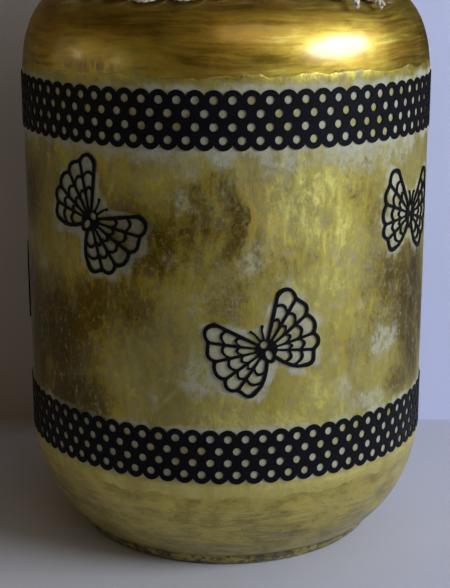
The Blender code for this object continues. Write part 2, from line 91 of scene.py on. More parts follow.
# Dabs that set the tissue's gold tone: angle from the front, height, half width and half height in
# millimetres, and how strongly. The dark ones are painted shade, most of them down the left side; the
# bright ones are thick gold with painted sheen where the window's light falls; the bare ones have no gold
DARK_SHADE_DABS = (
    (-52, 56, 13, 16, 0.9), (-72, 52, 15, 21, 1.0), (-24, 81, 16, 11, 0.7), (-36, 64, 12, 10, 0.6),
    (66, 58, 11, 19, 1.1), (-70, 88, 10, 12, 0.7), (-1, 88, 10, 10, 0.45), (50, 71, 8, 8, 0.6),
    (57, 44, 7, 6, 0.7), (38, 64, 9, 14, 0.35), (42, 86, 7, 8, 0.4), (-26, 67, 11, 9, 0.6),
    (-46, 42, 14, 8, 0.9),
)
BRIGHT_SHEEN_DABS = (
    (16, 89, 6, 13, 1.0), (27, 87, 9, 12, 0.9), (22, 73, 8, 6, 0.7), (36, 76, 4, 9, 0.6),
    (12, 40, 15, 4, 0.5), (35, 62, 7, 6, 0.4), (-14, 44, 9, 5, 0.5),
)
BARE_DABS = (
    (-6, 99, 13, 4, 0.5), (11, 99, 9, 5, 0.8), (7, 78, 3.4, 4.6, 0.9), (48, 55, 5.5, 5, 1.0),
    (43, 42, 6.5, 4, 0.9), (31, 50, 8, 9, 0.5), (-7, 51, 8, 9, 0.6), (-45, 61, 1.6, 6, 0.6),
    (-20, 46, 3, 4, 0.6), (-11, 89, 3, 4, 0.5), (-14, 77, 4, 3, 0.5), (51, 67, 4, 3, 0.7),
    (38, 99, 20, 4, 0.6), (61, 66, 3, 4, 0.5), (-60, 70, 2, 6, 0.4),
)
FOLDS = ((3.7, 22.5, 4.5, 0.45), (36.0, 24.0, 3.5, 0.5), (-31.0, 114.5, 3.5, 0.5), (57.0, 114.5, 3.0, 0.5))
BRUSHED_DABS = ((3, 87, 9, 12, 1.0), (14, 88, 9, 14, 1.0), (25, 84, 8, 14, 0.7), (62, 58, 8, 18, 0.5))


# ---------------------------------------------------------------- mesh helpers

def add_object(name, data):
    made = bpy.data.objects.new(name, data)
    bpy.context.scene.collection.objects.link(made)
    return made


def make_object(name, verts, faces, materials, face_slots=None, sharp=40.0, recalc=True):
    mesh = bpy.data.meshes.new(name)
    mesh.from_pydata([tuple(v) for v in verts], [], [tuple(int(i) for i in f) for f in faces])
    for material in materials:
        mesh.materials.append(material)
    if face_slots is not None:
        mesh.polygons.foreach_set("material_index", face_slots)
    if recalc:
        bm = bmesh.new()
        bm.from_mesh(mesh)
        bmesh.ops.recalc_face_normals(bm, faces=bm.faces)
        bm.to_mesh(mesh)
        bm.free()
    mesh.shade_smooth()
    if sharp:
        mesh.set_sharp_from_angle(angle=math.radians(sharp))
    return add_object(name, mesh)


def sheet_object(name, bm, material):
    """An object from a finished sheet, with its cut edges shaded sharp."""
    bmesh.ops.recalc_face_normals(bm, faces=bm.faces)
    mesh = bpy.data.meshes.new(name)
    bm.to_mesh(mesh)
    bm.free()
    mesh.materials.append(material)
    mesh.shade_smooth()
    mesh.set_sharp_from_angle(angle=math.radians(SHEET_SHARP))
    return add_object(name, mesh)


def stand_in_for(piece, node, body="jar"):
    """Puts a piece in a CAD node's place, on its moving body."""
    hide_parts(node)
    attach(piece, body)


def grid_faces(rows, cols, wrap_rows=False, wrap_cols=True):
    faces = []
    for i in range(rows if wrap_rows else rows - 1):
        a, b = i * cols, ((i + 1) % rows) * cols
        for j in range(cols if wrap_cols else cols - 1):
            k = (j + 1) % cols
            faces.append((a + j, a + k, b + k, b + j))
    return faces


def place(radius, degrees, z):
    """A point by radius, angle from the front (-Y) towards +X, and height."""
    turn = math.radians(degrees)
    return Vector((radius * math.sin(turn), -radius * math.cos(turn), z))


def lathe(name, profile, segments, materials, slots=None, ring=False, radial=None):
    """Turns a (radius, z) profile in millimetres about Z. radial(turn, r, z) adds to the radius."""
    verts, rows = [], []
    for r, z in profile:
        if r < 1e-6:
            rows.append([len(verts)])
            verts.append((0.0, 0.0, z * MM))
            continue
        rows.append(list(range(len(verts), len(verts) + segments)))
        for j in range(segments):
            turn = 2 * math.pi * j / segments
            rr = r + (radial(turn, r, z) if radial else 0.0)
            verts.append((rr * math.sin(turn) * MM, -rr * math.cos(turn) * MM, z * MM))
    faces, face_slots = [], []
    pairs = list(zip(rows, rows[1:] + (rows[:1] if ring else [])))
    for index, (a, b) in enumerate(pairs):
        for j in range(segments):
            k = (j + 1) % segments
            if len(a) == 1 and len(b) == 1:
                break
            if len(a) == 1:
                faces.append((a[0], b[k], b[j]))
            elif len(b) == 1:
                faces.append((a[j], a[k], b[0]))
            else:
                faces.append((a[j], a[k], b[k], b[j]))
            face_slots.append(slots[index] if slots else 0)
    return make_object(name, verts, faces, materials, face_slots)


def smooth_path(points, step):
    """Catmull-Rom through points, resampled at about one point every step."""
    pts = [Vector(p) for p in points]
    n = len(pts)
    dense = []
    for i in range(n - 1):
        p0 = pts[i - 1] if i else pts[0] * 2 - pts[1]
        p1, p2 = pts[i], pts[i + 1]
        p3 = pts[i + 2] if i < n - 2 else pts[-1] * 2 - pts[-2]
        cuts = max(2, int((p2 - p1).length / step) + 1)
        for k in range(cuts):
            t = k / cuts
            dense.append(0.5 * (
                2 * p1 + (p2 - p0) * t + (2 * p0 - 5 * p1 + 4 * p2 - p3) * t * t
                + (3 * p1 - p0 - 3 * p2 + p3) * t ** 3
            ))
    dense.append(pts[-1])
    return dense


def frames_along(points, closed):
    """(tangent, normal, binormal) at each point, carried along without twisting."""
    n = len(points)
    tangents = []
    for i in range(n):
        a = points[i - 1] if closed or i else points[0]
        b = points[(i + 1) % n] if closed or i < n - 1 else points[-1]
        tangents.append((b - a).normalized())
    normal = tangents[0].orthogonal().normalized()
    normals = [normal]
    for a, b in zip(tangents, tangents[1:]):
        normal = a.rotation_difference(b) @ normal
        normals.append(normal)
    if closed:
        last = tangents[-1].rotation_difference(tangents[0]) @ normal
        slip = math.atan2(last.cross(normals[0]).dot(tangents[0]), last.dot(normals[0]))
        normals = [Quaternion(t, slip * i / n) @ m for i, (t, m) in enumerate(zip(tangents, normals))]
    return [(t, m, t.cross(m)) for t, m in zip(tangents, normals)]


class Tubes:
    """Collects tubes into one mesh."""

    def __init__(self):
        self.verts, self.faces = [], []

    def add(self, points, radius, sides=12, closed=False, taper=None):
        base = len(self.verts)
        frames = frames_along(points, closed)
        for i, (point, (_, m, b)) in enumerate(zip(points, frames)):
            r = radius * (taper(i / (len(points) - 1)) if taper else 1.0)
            for k in range(sides):
                a = 2 * math.pi * k / sides
                self.verts.append(point + m * (r * math.cos(a)) + b * (r * math.sin(a)))
        n = len(points)
        for a, b, c, d in grid_faces(n, sides, wrap_rows=closed):
            self.faces.append((base + a, base + b, base + c, base + d))
        if not closed:
            self.faces.append(tuple(base + k for k in range(sides))[::-1])
            self.faces.append(tuple(base + (n - 1) * sides + k for k in range(sides)))

    def add_rope(self, points, radius, lay, closed=False, strands=3, sides=8, taper=None):
        """A laid cord: strands twisted round the path, one turn every lay."""
        frames = frames_along(points, closed)
        length = sum((b - a).length for a, b in zip(points, points[1:]))
        if closed:
            length += (points[0] - points[-1]).length
        turns = max(1, round(length / lay)) if closed else length / lay
        strand_r = radius * 0.5
        run, travelled = 0.0, []
        for i, point in enumerate(points):
            run += (point - points[i - 1]).length if i else 0.0
            travelled.append(run / length)
        for s in range(strands):
            line = []
            for point, share, (_, m, b) in zip(points, travelled, frames):
                a = 2 * math.pi * (turns * share + s / strands)
                k = (taper(share) if taper else 1.0) * (radius - strand_r)
                line.append(point + (m * math.cos(a) + b * math.sin(a)) * k)
            self.add(line, strand_r, sides, closed, taper)

    def build(self, name, material):
        return make_object(name, self.verts, self.faces, [material], sharp=60.0)


def slice_sheet(bm, step):
    """Cuts a flat sheet into small squares, so that no long triangle is left to cut across a bend."""
    for axis in (0, 1):
        places = [vert.co[axis] for vert in bm.verts]
        for k in range(1, int((max(places) - min(places)) / step) + 1):
            spot, facing = Vector(), Vector()
            spot[axis], facing[axis] = min(places) + k * step, 1.0
            bmesh.ops.bisect_plane(bm, geom=bm.verts[:] + bm.edges[:] + bm.faces[:], dist=1e-7,
                                   plane_co=spot, plane_no=facing)


def sheet_from_loops(name, loops, thickness, bevel, bend, material, step):
    """A flat sheet with openings, cut from closed loops in millimetres, then bent by bend(x, y, h)."""
    curve = bpy.data.curves.new(name, "CURVE")
    curve.dimensions = "2D"
    curve.fill_mode = "BOTH"
    curve.extrude = (thickness / 2 - bevel) * MM
    curve.bevel_depth = bevel * MM
    curve.offset = -bevel * MM
    curve.bevel_resolution = 1
    for loop in loops:
        spline = curve.splines.new("POLY")
        spline.points.add(len(loop) - 1)
        for slot, (x, y) in zip(spline.points, loop):
            slot.co = (x * MM, y * MM, 0.0, 1.0)
        spline.use_cyclic_u = True
    holder = add_object("sheet_curve", curve)
    bpy.context.view_layer.update()
    mesh = bpy.data.meshes.new_from_object(holder.evaluated_get(bpy.context.evaluated_depsgraph_get()))
    bpy.data.objects.remove(holder)
    bpy.data.curves.remove(curve)
    bm = bmesh.new()
    bm.from_mesh(mesh)
    bpy.data.meshes.remove(mesh)
    bmesh.ops.remove_doubles(bm, verts=bm.verts, dist=2e-6)
    slice_sheet(bm, step * MM)
    bmesh.ops.recalc_face_normals(bm, faces=bm.faces)
    for vert in bm.verts:
        vert.co = bend(vert.co.x / MM, vert.co.y / MM, vert.co.z / MM + thickness / 2) * MM
    return sheet_object(name, bm, material)


# ---------------------------------------------------------------- material helpers

class Nodes:
    """A thin layer over a material's node tree."""

    def __init__(self, name):
        self.material = bpy.data.materials.new(name)
        self.material.use_nodes = True
        self.tree = self.material.node_tree
        self.tree.nodes.clear()
        self.out = self.tree.nodes.new("ShaderNodeOutputMaterial")

    def link(self, value, socket):
        if isinstance(value, bpy.types.NodeSocket):
            self.tree.links.new(value, socket)
        elif isinstance(value, (tuple, list)) and len(value) == 3 and socket.type == "RGBA":
            socket.default_value = (*value, 1.0)
        elif value is not None:
            socket.default_value = value

    def node(self, kind, inputs=None, **settings):
        made = self.tree.nodes.new("ShaderNode" + kind)
        for key, value in settings.items():
            setattr(made, key, value)
        for key, value in (inputs or {}).items():
            self.link(value, made.inputs[key])
        return made

    def position(self, scale=(1, 1, 1), offset=(0, 0, 0), warp=None):
        coords = self.node("TexCoord").outputs["Object"]
        if warp is not None:
            coords = self.node("VectorMath", {0: coords, 1: warp}, operation="ADD").outputs[0]
        mapping = self.node("Mapping", {"Vector": coords, "Scale": scale, "Location": offset})
        return mapping.outputs[0]

    def noise(self, vector, scale, detail=4.0, rough=0.55, out="Fac"):
        inputs = {"Vector": vector, "Scale": scale, "Detail": detail, "Roughness": rough}
        return self.node("TexNoise", inputs).outputs[out]

    def drift(self, scale, size):
        """A wandering offset that keeps streaks and clouds from running straight."""
        colour = self.noise(self.position(scale), size, 3.0, out="Color")
        return self.node("VectorMath", {0: colour, "Scale": 0.010}, operation="SCALE").outputs[0]

    def voronoi(self, vector, scale, feature="F1", out="Distance"):
        return self.node("TexVoronoi", {"Vector": vector, "Scale": scale}, feature=feature).outputs[out]

    def attribute(self, name):
        return self.node("Attribute", attribute_name=name).outputs["Fac"]

    def height(self):
        coords = self.node("TexCoord").outputs["Object"]
        return self.times(self.node("SeparateXYZ", {0: coords}).outputs["Z"], 1000.0)

    def math(self, operation, *values):
        return self.node("Math", dict(enumerate(values)), operation=operation).outputs[0]

    def plus(self, a, b):
        return self.math("ADD", a, b)

    def minus(self, a, b):
        return self.math("SUBTRACT", a, b)

    def times(self, a, b):
        return self.math("MULTIPLY", a, b)

    def greater(self, a, b):
        return self.math("MAXIMUM", a, b)

    def ramp(self, value, low, high, to_low=0.0, to_high=1.0):
        """Eases from to_low to to_high while the value runs from low to high."""
        made = self.node("MapRange", {"Value": value, "From Min": low, "From Max": high,
                                      "To Min": to_low, "To Max": to_high})
        made.interpolation_type = "SMOOTHSTEP"
        return made.outputs[0]

    def mix(self, factor, a, b, blend="MIX"):
        made = self.node("Mix", data_type="RGBA", blend_type=blend)
        self.link(factor, made.inputs[0])
        self.link(a, made.inputs[6])
        self.link(b, made.inputs[7])
        return made.outputs[2]

    def bump(self, height, strength, distance, normal=None):
        inputs = {"Height": height, "Strength": strength, "Distance": distance}
        if normal is not None:
            inputs["Normal"] = normal
        return self.node("Bump", inputs).outputs[0]

    def surface(self, **inputs):
        named = {key.replace("_", " "): value for key, value in inputs.items()}
        return self.node("BsdfPrincipled", named).outputs[0]

    def blend(self, factor, a, b):
        made = self.node("MixShader")
        self.link(factor, made.inputs[0])
        self.tree.links.new(a, made.inputs[1])
        self.tree.links.new(b, made.inputs[2])
        return made.outputs[0]

    def done(self, shader):
        self.tree.links.new(shader, self.out.inputs["Surface"])
        return self.material


# ---------------------------------------------------------------- shared shapes

def shoulder_radius(z):
    base, a, b = SHOULDER
    s = min(0.9999, max(0.0, (z - base) / b))
    return R - a + a * math.sqrt(1 - s * s)


def heel_radius(z):
    top, a, b = HEEL
    s = max(0.0, top - z) / b
    return R - a + a * math.sqrt(1 - s * s)


def jar_radius(z):
    return shoulder_radius(z) if z > SHOULDER[0] else heel_radius(z)


def shoulder_point(degrees, lift=0.0):
    base, a, b = SHOULDER
    t = math.radians(degrees)
    nr, nz = math.cos(t) / a, math.sin(t) / b
    size = math.hypot(nr, nz)
    return R - a + a * math.cos(t) + lift * nr / size, base + b * math.sin(t) + lift * nz / size


def wing_radius(degrees):
    """A wing's outer radius by the angle from the head, in millimetres."""
    a = abs(degrees)
    for i, peak in enumerate(WING_PEAKS):
        start, end = WING_ANGLES[i], WING_ANGLES[i + 1]
        if start <= a <= end:
            s = (a - start) / (end - start)
            base = WING_CUSPS[i] * (1 - s) + WING_CUSPS[i + 1] * s
            return base + (peak - base) * math.sin(math.pi * s) ** 0.8
    return 3.0


# ---------------------------------------------------------------- materials

def gold_leaf_colour(n, streaks, deep, mid, bright):
    tone = n.mix(n.ramp(streaks, 0.32, 0.56), deep, mid)
    return n.mix(n.ramp(streaks, 0.54, 0.74), tone, bright)


def heel_gold(n, z, mixed, drift):
    """Pale, mottled gold on the heel, a little darker towards the foot."""
    mottle = n.noise(n.position((150, 150, 240), (4, 4, 4), warp=drift), 1.0, 6.0, 0.66)
    mottled = n.plus(n.times(mixed, 0.5), n.times(mottle, 0.5))
    colour = gold_leaf_colour(n, mottled, (0.17, 0.14, 0.028), (0.60, 0.49, 0.12), (0.94, 0.82, 0.33))
    return n.mix(n.ramp(z, 21.0, 6.0, 0.0, 0.22), colour, (0.12, 0.10, 0.03))


def scrapes_and_foot_shade(n, z, worn, drift):
    """How much of the paint is scraped off in streaks on the heel, and most of the foot ring, which shows
    dark: partly bare glass, partly painted shade of the jar's base.
    """
    scrape = n.noise(n.position((75, 75, 950), (1, 7, 2), warp=drift), 1.0, 6.0, 0.74)
    bare = n.plus(scrape, n.times(n.minus(worn, 0.5), 0.8))
    bare = n.plus(bare, n.ramp(z, 13.0, 4.0, 0.0, 0.06))
    bare = n.times(n.ramp(bare, 0.43, 0.72, 0.0, 0.75), n.ramp(z, 24.0, 15.0))
    glitter = n.noise(n.position((1, 1, 1.8)), 480.0, 4.0, 0.7)
    foot = n.times(n.ramp(z, 3.1, 2.5), n.ramp(glitter, 0.44, 0.56, 0.95, 0.15))
    return n.greater(bare, foot)


def shoulder_dark_line(n, z, worn):
    """A darker broken band along the tissue's upper edge, where the shoulder starts."""
    dark_line = n.times(n.ramp(z, 116.8, 118.0), n.ramp(z, 120.0, 118.6))
    dark_line = n.times(dark_line, n.ramp(worn, 0.50, 0.60))
    dark_line = n.times(dark_line, n.ramp(n.noise(n.position((1, 1, 0.4)), 620.0, 4.0), 0.47, 0.60))
    return n.times(dark_line, 0.65)


def painted_glass():
    """Brushed gold paint over glass: glossy on the shoulder, thin and streaky at the heel and lip."""
    n = Nodes("painted_glass")
    z = n.height()
    drift = n.drift((18, 18, 60), 1.0)
    strokes = n.noise(n.position((26, 26, 230), warp=drift), 1.0, 6.0, 0.6)
    fine = n.noise(n.position((60, 60, 1100), warp=drift), 1.0, 5.0, 0.62)
    patches = n.noise(n.position((85, 85, 190), (3, 1, 0), warp=drift), 1.0, 6.0, 0.66)
    grit = n.noise(n.position((1, 1, 1.6)), 900.0, 3.0, 0.6)
    mixed = n.plus(n.times(strokes, 0.28), n.times(fine, 0.27))
    mixed = n.plus(mixed, n.times(patches, 0.45))
    colour = n.mix(n.ramp(mixed, 0.40, 0.53), (0.235, 0.150, 0.013), (0.47, 0.335, 0.045))
    colour = n.mix(n.ramp(mixed, 0.52, 0.66), colour, (0.74, 0.62, 0.15))
    rust = n.noise(n.position((55, 55, 120), (8, 3, 1)), 1.0, 5.0, 0.6)
    colour = n.mix(n.ramp(rust, 0.51, 0.64, 0.0, 0.60), colour, (0.36, 0.19, 0.025))
    colour = n.mix(n.ramp(rust, 0.46, 0.34, 0.0, 0.50), colour, (0.25, 0.235, 0.045))
    heel = n.ramp(z, 30.0, 18.0)
    colour = n.mix(heel, colour, heel_gold(n, z, mixed, drift))
    worn = n.noise(n.position((34, 34, 70), (7, 2, 5)), 1.0, 4.0, 0.6)
    bare = scrapes_and_foot_shade(n, z, worn, drift)
    # Where the paint is off the glass is dark; the foot ring is darker still, painted shade of the base
    colour = n.mix(bare, colour, n.mix(n.ramp(z, 4.0, 2.6), (0.115, 0.105, 0.055), (0.035, 0.033, 0.014)))
    dark_line = shoulder_dark_line(n, z, worn)
    colour = n.mix(dark_line, colour, (0.045, 0.030, 0.008))
    colour = n.mix(n.times(n.ramp(grit, 0.60, 0.72), n.ramp(z, 34.0, 10.0, 0.06, 0.65)),
                   colour, (0.05, 0.045, 0.02))
    rough = n.ramp(fine, 0.3, 0.75, 0.40, 0.54)
    metal = n.minus(1.0, n.times(heel, 0.25))
    metal = n.times(metal, n.minus(1.0, n.greater(bare, dark_line)))
    relief = n.plus(n.times(strokes, 0.5), n.times(fine, 0.22))
    normal = n.bump(relief, 0.06, 0.0008)
    dab = n.noise(n.position(), 190.0, 4.0, 0.55)
    normal = n.bump(dab, 0.09, 0.0008, normal)
    paint = n.surface(Base_Color=colour, Metallic=metal, Roughness=rough, Normal=normal,
                      Coat_Weight=n.ramp(heel, 0.0, 1.0, 1.0, 0.3), Coat_Roughness=0.19)
    glass = n.surface(Base_Color=(0.93, 0.97, 0.95), Roughness=0.03, IOR=1.5, Transmission_Weight=1.0,
                      Normal=n.bump(n.noise(n.position(), 60.0, 2.0), 0.12, 0.0006))
    rim = n.plus(z, n.times(n.minus(mixed, 0.5), 26.0))
    painted = n.ramp(rim, 147.5, 145.0)
    return n.done(n.blend(painted, glass, paint))


def inner_glass():
    """The inside wall: clear at the neck, and below it the wrap and the paint seen through glass."""
    n = Nodes("inner_glass")
    z = n.height()
    mottle = n.noise(n.position((1, 1, 0.6)), 70.0, 6.0, 0.6)
    streak = n.noise(n.position((10, 10, 300)), 1.0, 5.0, 0.6)
    tissue = n.mix(n.ramp(mottle, 0.35, 0.65), (0.30, 0.25, 0.15), (0.56, 0.50, 0.37))
    gold = n.mix(n.ramp(streak, 0.35, 0.65), (0.30, 0.19, 0.05), (0.58, 0.41, 0.13))
    wrapped = n.times(n.ramp(z, 19.0, 24.0), n.ramp(z, 121.0, 117.0))
    backing = n.surface(
        Base_Color=n.mix(wrapped, gold, tissue), Roughness=0.42,
        Metallic=n.times(n.minus(1.0, wrapped), 0.6),
        Coat_Weight=1.0, Coat_Roughness=0.03,
        Normal=n.bump(mottle, 0.08, 0.0006))
    glass = n.surface(Base_Color=(0.93, 0.97, 0.95), Roughness=0.03, IOR=1.5, Transmission_Weight=1.0)
    return n.done(n.blend(n.ramp(z, 134.0, 131.0), glass, backing))


def rubbed_gold(n, drift, streak, grain, blotch, dab_tone_and_painted_light, brushed):
    """The gold's colour: deep, mid and bright patches, lifted with painted sheen in the bright dabs and
    lowered with painted shade in the dark ones, and amber strokes where it was brushed.
    """
    tone = n.noise(n.position((1, 1, 0.7), (2, 4, 0), warp=drift), 75.0, 8.0, 0.70)
    tone = n.plus(n.times(tone, 0.50), n.times(grain, 0.26))
    tone = n.plus(tone, n.times(streak, 0.24))
    # painted sheen and shade: the dabs raise and lower the gold's tone
    tone = n.plus(tone, n.times(dab_tone_and_painted_light, n.ramp(streak, 0.38, 0.58, 0.06, 0.15)))
    columns = n.noise(n.position((1, 1, 0.11), (0, 5, 2), warp=drift), 240.0, 4.0, 0.62)
    columns = n.times(n.minus(columns, 0.5), n.ramp(brushed, 0.0, 1.0, 0.06, 0.65))
    tone = n.plus(tone, columns)
    gold = n.mix(n.ramp(tone, 0.38, 0.52), (0.155, 0.098, 0.004), (0.435, 0.345, 0.045))
    gold = n.mix(n.ramp(tone, 0.51, 0.68), gold, (0.75, 0.69, 0.16))
    amber = n.times(n.ramp(brushed, 0.1, 0.8), n.ramp(columns, -0.02, 0.05))
    return n.mix(n.times(amber, n.ramp(blotch, 0.62, 0.44, 0.1, 0.7)), gold, (0.66, 0.45, 0.06))


def bare_paper(n, cloud, grain, dab_tone_and_painted_light, pale):
    """The tissue where little gold took: stained and speckled, darkened with painted shade in the dark
    dabs, and pale round the stickers.
    """
    paper = n.mix(n.ramp(cloud, 0.35, 0.68), (0.225, 0.19, 0.055), (0.43, 0.415, 0.235))
    # painted shade: the dark dabs darken the paper
    paper = n.mix(n.ramp(dab_tone_and_painted_light, 0.0, -0.9, 0.0, 0.95), paper, (0.085, 0.057, 0.006))
    paper = n.mix(pale, paper, (0.42, 0.42, 0.325))
    return n.mix(n.times(n.ramp(grain, 0.50, 0.68), 0.35), paper, (0.20, 0.165, 0.07))


def crinkles(n, drift, grain, speck):
    """The surface's finest wrinkles, slanting folds and grain, as a normal."""
    wrinkles = n.noise(n.position((1, 1, 0.6), warp=drift), 430.0, 6.0, 0.62)
    slanted = n.node("Mapping", {"Vector": n.position(warp=drift), "Rotation": (0.45, 0.25, 0.0),
                                 "Scale": (1, 1, 0.28)}).outputs[0]
    folds = n.math("ABSOLUTE", n.minus(n.noise(slanted, 290.0, 3.0, 0.5), 0.5))
    folds = n.ramp(folds, 0.0, 0.030, 1.0, 0.0)
    relief = n.plus(wrinkles, n.times(folds, 0.06))
    normal = n.bump(relief, 0.26, 0.0006)
    return n.bump(n.plus(grain, n.times(speck, 0.6)), 0.16, 0.0003, normal)


def gilded_tissue():
    """Crinkled cream tissue with gold rubbed over it, paler round the stickers."""
    n = Nodes("gilded_tissue")
    z = n.height()
    halo, crease, edge = n.attribute("halo"), n.attribute("crease"), n.attribute("edge")
    dab_tone_and_painted_light, bare, brushed = n.attribute("dab_tone_and_painted_light"), n.attribute("bare"), n.attribute("brushed")
    drift = n.drift((1, 1, 1), 60.0)
    cloud = n.noise(n.position((1, 1, 0.75), warp=drift), 62.0, 8.0, 0.66)
    streak = n.noise(n.position((1, 1, 0.35), (0.3, 0, 0), warp=drift), 260.0, 5.0, 0.65)
    grain = n.noise(n.position((1, 1, 0.8), (0, 3, 0)), 620.0, 4.0, 0.7)
    speck = n.noise(n.position((1, 1, 0.8)), 1500.0, 3.0, 0.65)
    blotch = n.noise(n.position((1, 1, 0.85), (5, 2, 1), warp=drift), 68.0, 7.0, 0.66)
    coverage = n.plus(n.times(cloud, 0.46), n.times(streak, 0.16))
    coverage = n.plus(coverage, n.times(grain, 0.22))
    coverage = n.plus(coverage, n.times(speck, 0.16))
    gold_mask = n.ramp(coverage, 0.43, 0.55, 0.22, 1.0)
    gold_mask = n.times(gold_mask, n.ramp(dab_tone_and_painted_light, -0.6, 0.1, 1.0, 0.86))
    fray = n.noise(n.position((1, 1, 0.9), (1, 1, 6)), 210.0, 6.0, 0.62)
    thin = n.plus(n.times(bare, 0.27), n.times(blotch, 0.60))
    thin = n.plus(thin, n.times(fray, 0.62))
    bared = n.times(n.ramp(thin, 0.66, 0.86), n.ramp(grain, 0.38, 0.56, 0.2, 1.0))
    spread = n.plus(halo, n.times(n.minus(cloud, 0.5), 1.1))
    spread = n.plus(spread, n.times(n.minus(fray, 0.5), 2.8))
    pale = n.greater(n.times(n.ramp(spread, 0.35, 1.15), 0.84),
                  n.times(bared, 0.80))
    margin = n.greater(n.ramp(z, 25.8, 24.0), n.ramp(z, 115.0, 116.8))
    margin = n.greater(n.times(margin, n.ramp(streak, 0.36, 0.56, 0.25, 1.0)), edge)
    pale = n.times(pale, n.minus(1.0, n.times(margin, 0.9)))
    gold_mask = n.times(gold_mask, n.minus(1.0, pale))
    gold_mask = n.greater(gold_mask, n.times(margin, 0.85))
    gold = rubbed_gold(n, drift, streak, grain, blotch, dab_tone_and_painted_light, brushed)
    paper = bare_paper(n, cloud, grain, dab_tone_and_painted_light, pale)
    colour = n.mix(gold_mask, paper, gold)
    # painted shade: the dark dabs darken the tissue's colour, most of all down its left side
    colour = n.mix(n.ramp(dab_tone_and_painted_light, -0.25, -0.9, 0.0, 0.55), colour, (0.050, 0.031, 0.002))
    fleck = n.ramp(n.noise(n.position((1, 1, 0.8), (7, 7, 1)), 850.0, 4.0, 0.7), 0.54, 0.66)
    fleck = n.times(fleck, n.ramp(dab_tone_and_painted_light, 0.1, -0.6, 0.10, 0.45))
    colour = n.mix(fleck, colour, (0.46, 0.41, 0.17))
    light_gold = n.mix(n.ramp(streak, 0.35, 0.65), (0.52, 0.43, 0.11), (0.68, 0.59, 0.20))
    colour = n.mix(n.times(n.ramp(z, 26.6, 24.6), 0.8), colour, light_gold)
    glint = n.times(crease, n.ramp(dab_tone_and_painted_light, 0.0, 0.9, 0.12, 0.55))
    colour = n.mix(glint, colour, (0.88, 0.76, 0.20))
    metal = n.times(gold_mask, 0.96)
    rough = n.ramp(gold_mask, 0.0, 1.0, 0.52, 0.43)
    rough = n.plus(rough, n.times(n.minus(grain, 0.5), 0.3))
    normal = crinkles(n, drift, grain, speck)
    return n.done(n.surface(
        Base_Color=colour, Metallic=metal, Roughness=rough, Normal=normal, Specular_IOR_Level=0.3,
        Coat_Weight=0.05, Coat_Roughness=0.25))


def black_sticker():
    n = Nodes("black_sticker")
    grain = n.noise(n.position(), 1500.0, 3.0, 0.6)
    cloud = n.noise(n.position(), 150.0, 3.0, 0.5)
    colour = n.mix(cloud, (0.0022, 0.0022, 0.0032), (0.0055, 0.0055, 0.0080))
    dust = n.ramp(n.noise(n.position(offset=(9, 9, 9)), 2600.0, 2.0), 0.70, 0.78)
    colour = n.mix(n.times(dust, 0.25), colour, (0.20, 0.17, 0.09))
    return n.done(n.surface(
        Base_Color=colour, Roughness=n.ramp(grain, 0.3, 0.7, 0.44, 0.56), Specular_IOR_Level=0.08,
        Normal=n.bump(n.plus(grain, cloud), 0.12, 0.0003)))


def steel_wire():
    n = Nodes("steel_wire")
    pull = n.noise(n.position(), 700.0, 5.0, 0.7)
    spangle = n.voronoi(n.position(), 420.0, out="Color")
    tone = n.mix(n.ramp(pull, 0.3, 0.7), (0.30, 0.295, 0.285), (0.62, 0.61, 0.59))
    tone = n.mix(0.18, tone, spangle, "SOFT_LIGHT")
    wear = n.ramp(n.noise(n.position(offset=(4, 0, 2)), 160.0, 4.0, 0.6), 0.58, 0.72)
    tone = n.mix(n.times(wear, 0.55), tone, (0.20, 0.17, 0.14))
    return n.done(n.surface(
        Base_Color=tone, Metallic=1.0, Roughness=n.ramp(pull, 0.3, 0.7, 0.24, 0.42),
        Normal=n.bump(pull, 0.12, 0.0003)))


def cotton(name, light, dark, weave_scale, weave_strength):
    """Spun cotton: fine twisted fibres over a soft cloudy colour."""
    n = Nodes(name)
    fibre = n.noise(n.position(), 2300.0, 4.0, 0.7)
    cloud = n.noise(n.position(), 210.0, 4.0, 0.6)
    stitch = n.voronoi(n.position(), weave_scale, "SMOOTH_F1")
    colour = n.mix(n.ramp(cloud, 0.3, 0.7), dark, light)
    colour = n.mix(n.times(n.ramp(fibre, 0.45, 0.75), 0.35), colour, dark)
    relief = n.plus(n.times(stitch, weave_strength), n.times(fibre, 0.5))
    return n.done(n.surface(
        Base_Color=colour, Roughness=0.9, Sheen_Weight=0.35, Sheen_Roughness=0.4,
        Specular_IOR_Level=0.2, Normal=n.bump(relief, 0.7, 0.0003),
        Subsurface_Weight=0.08, Subsurface_Radius=(0.001, 0.0008, 0.0005), Subsurface_Scale=0.5))


def foil(name, colour, rough):
    """Drawn aluminium or tin: faint lines round the part and small handling scratches."""
    n = Nodes(name)
    lines = n.noise(n.position((14, 14, 2600)), 1.0, 4.0, 0.7)
    scuff = n.noise(n.position(), 380.0, 5.0, 0.7)
    tone = n.mix(n.ramp(scuff, 0.35, 0.7), tuple(0.78 * c for c in colour), colour)
    return n.done(n.surface(
        Base_Color=tone, Metallic=1.0, Roughness=n.ramp(lines, 0.3, 0.7, rough - 0.08, rough + 0.10),
        Normal=n.bump(n.plus(lines, n.times(scuff, 0.4)), 0.14, 0.0003)))


def candle_wax_material():
    n = Nodes("candle_wax")
    mottle = n.noise(n.position(), 190.0, 5.0, 0.6)
    bloom = n.noise(n.position(), 1200.0, 3.0, 0.6)
    colour = n.mix(n.ramp(mottle, 0.3, 0.7), (0.80, 0.76, 0.66), (0.90, 0.88, 0.81))
    return n.done(n.surface(
        Base_Color=colour, Roughness=n.ramp(bloom, 0.3, 0.7, 0.32, 0.50), Subsurface_Weight=0.45,
        Subsurface_Radius=(0.004, 0.003, 0.002), Subsurface_Scale=1.0,
        Normal=n.bump(n.plus(mottle, n.times(bloom, 0.3)), 0.12, 0.0005)))


# ---------------------------------------------------------------- the glass jar

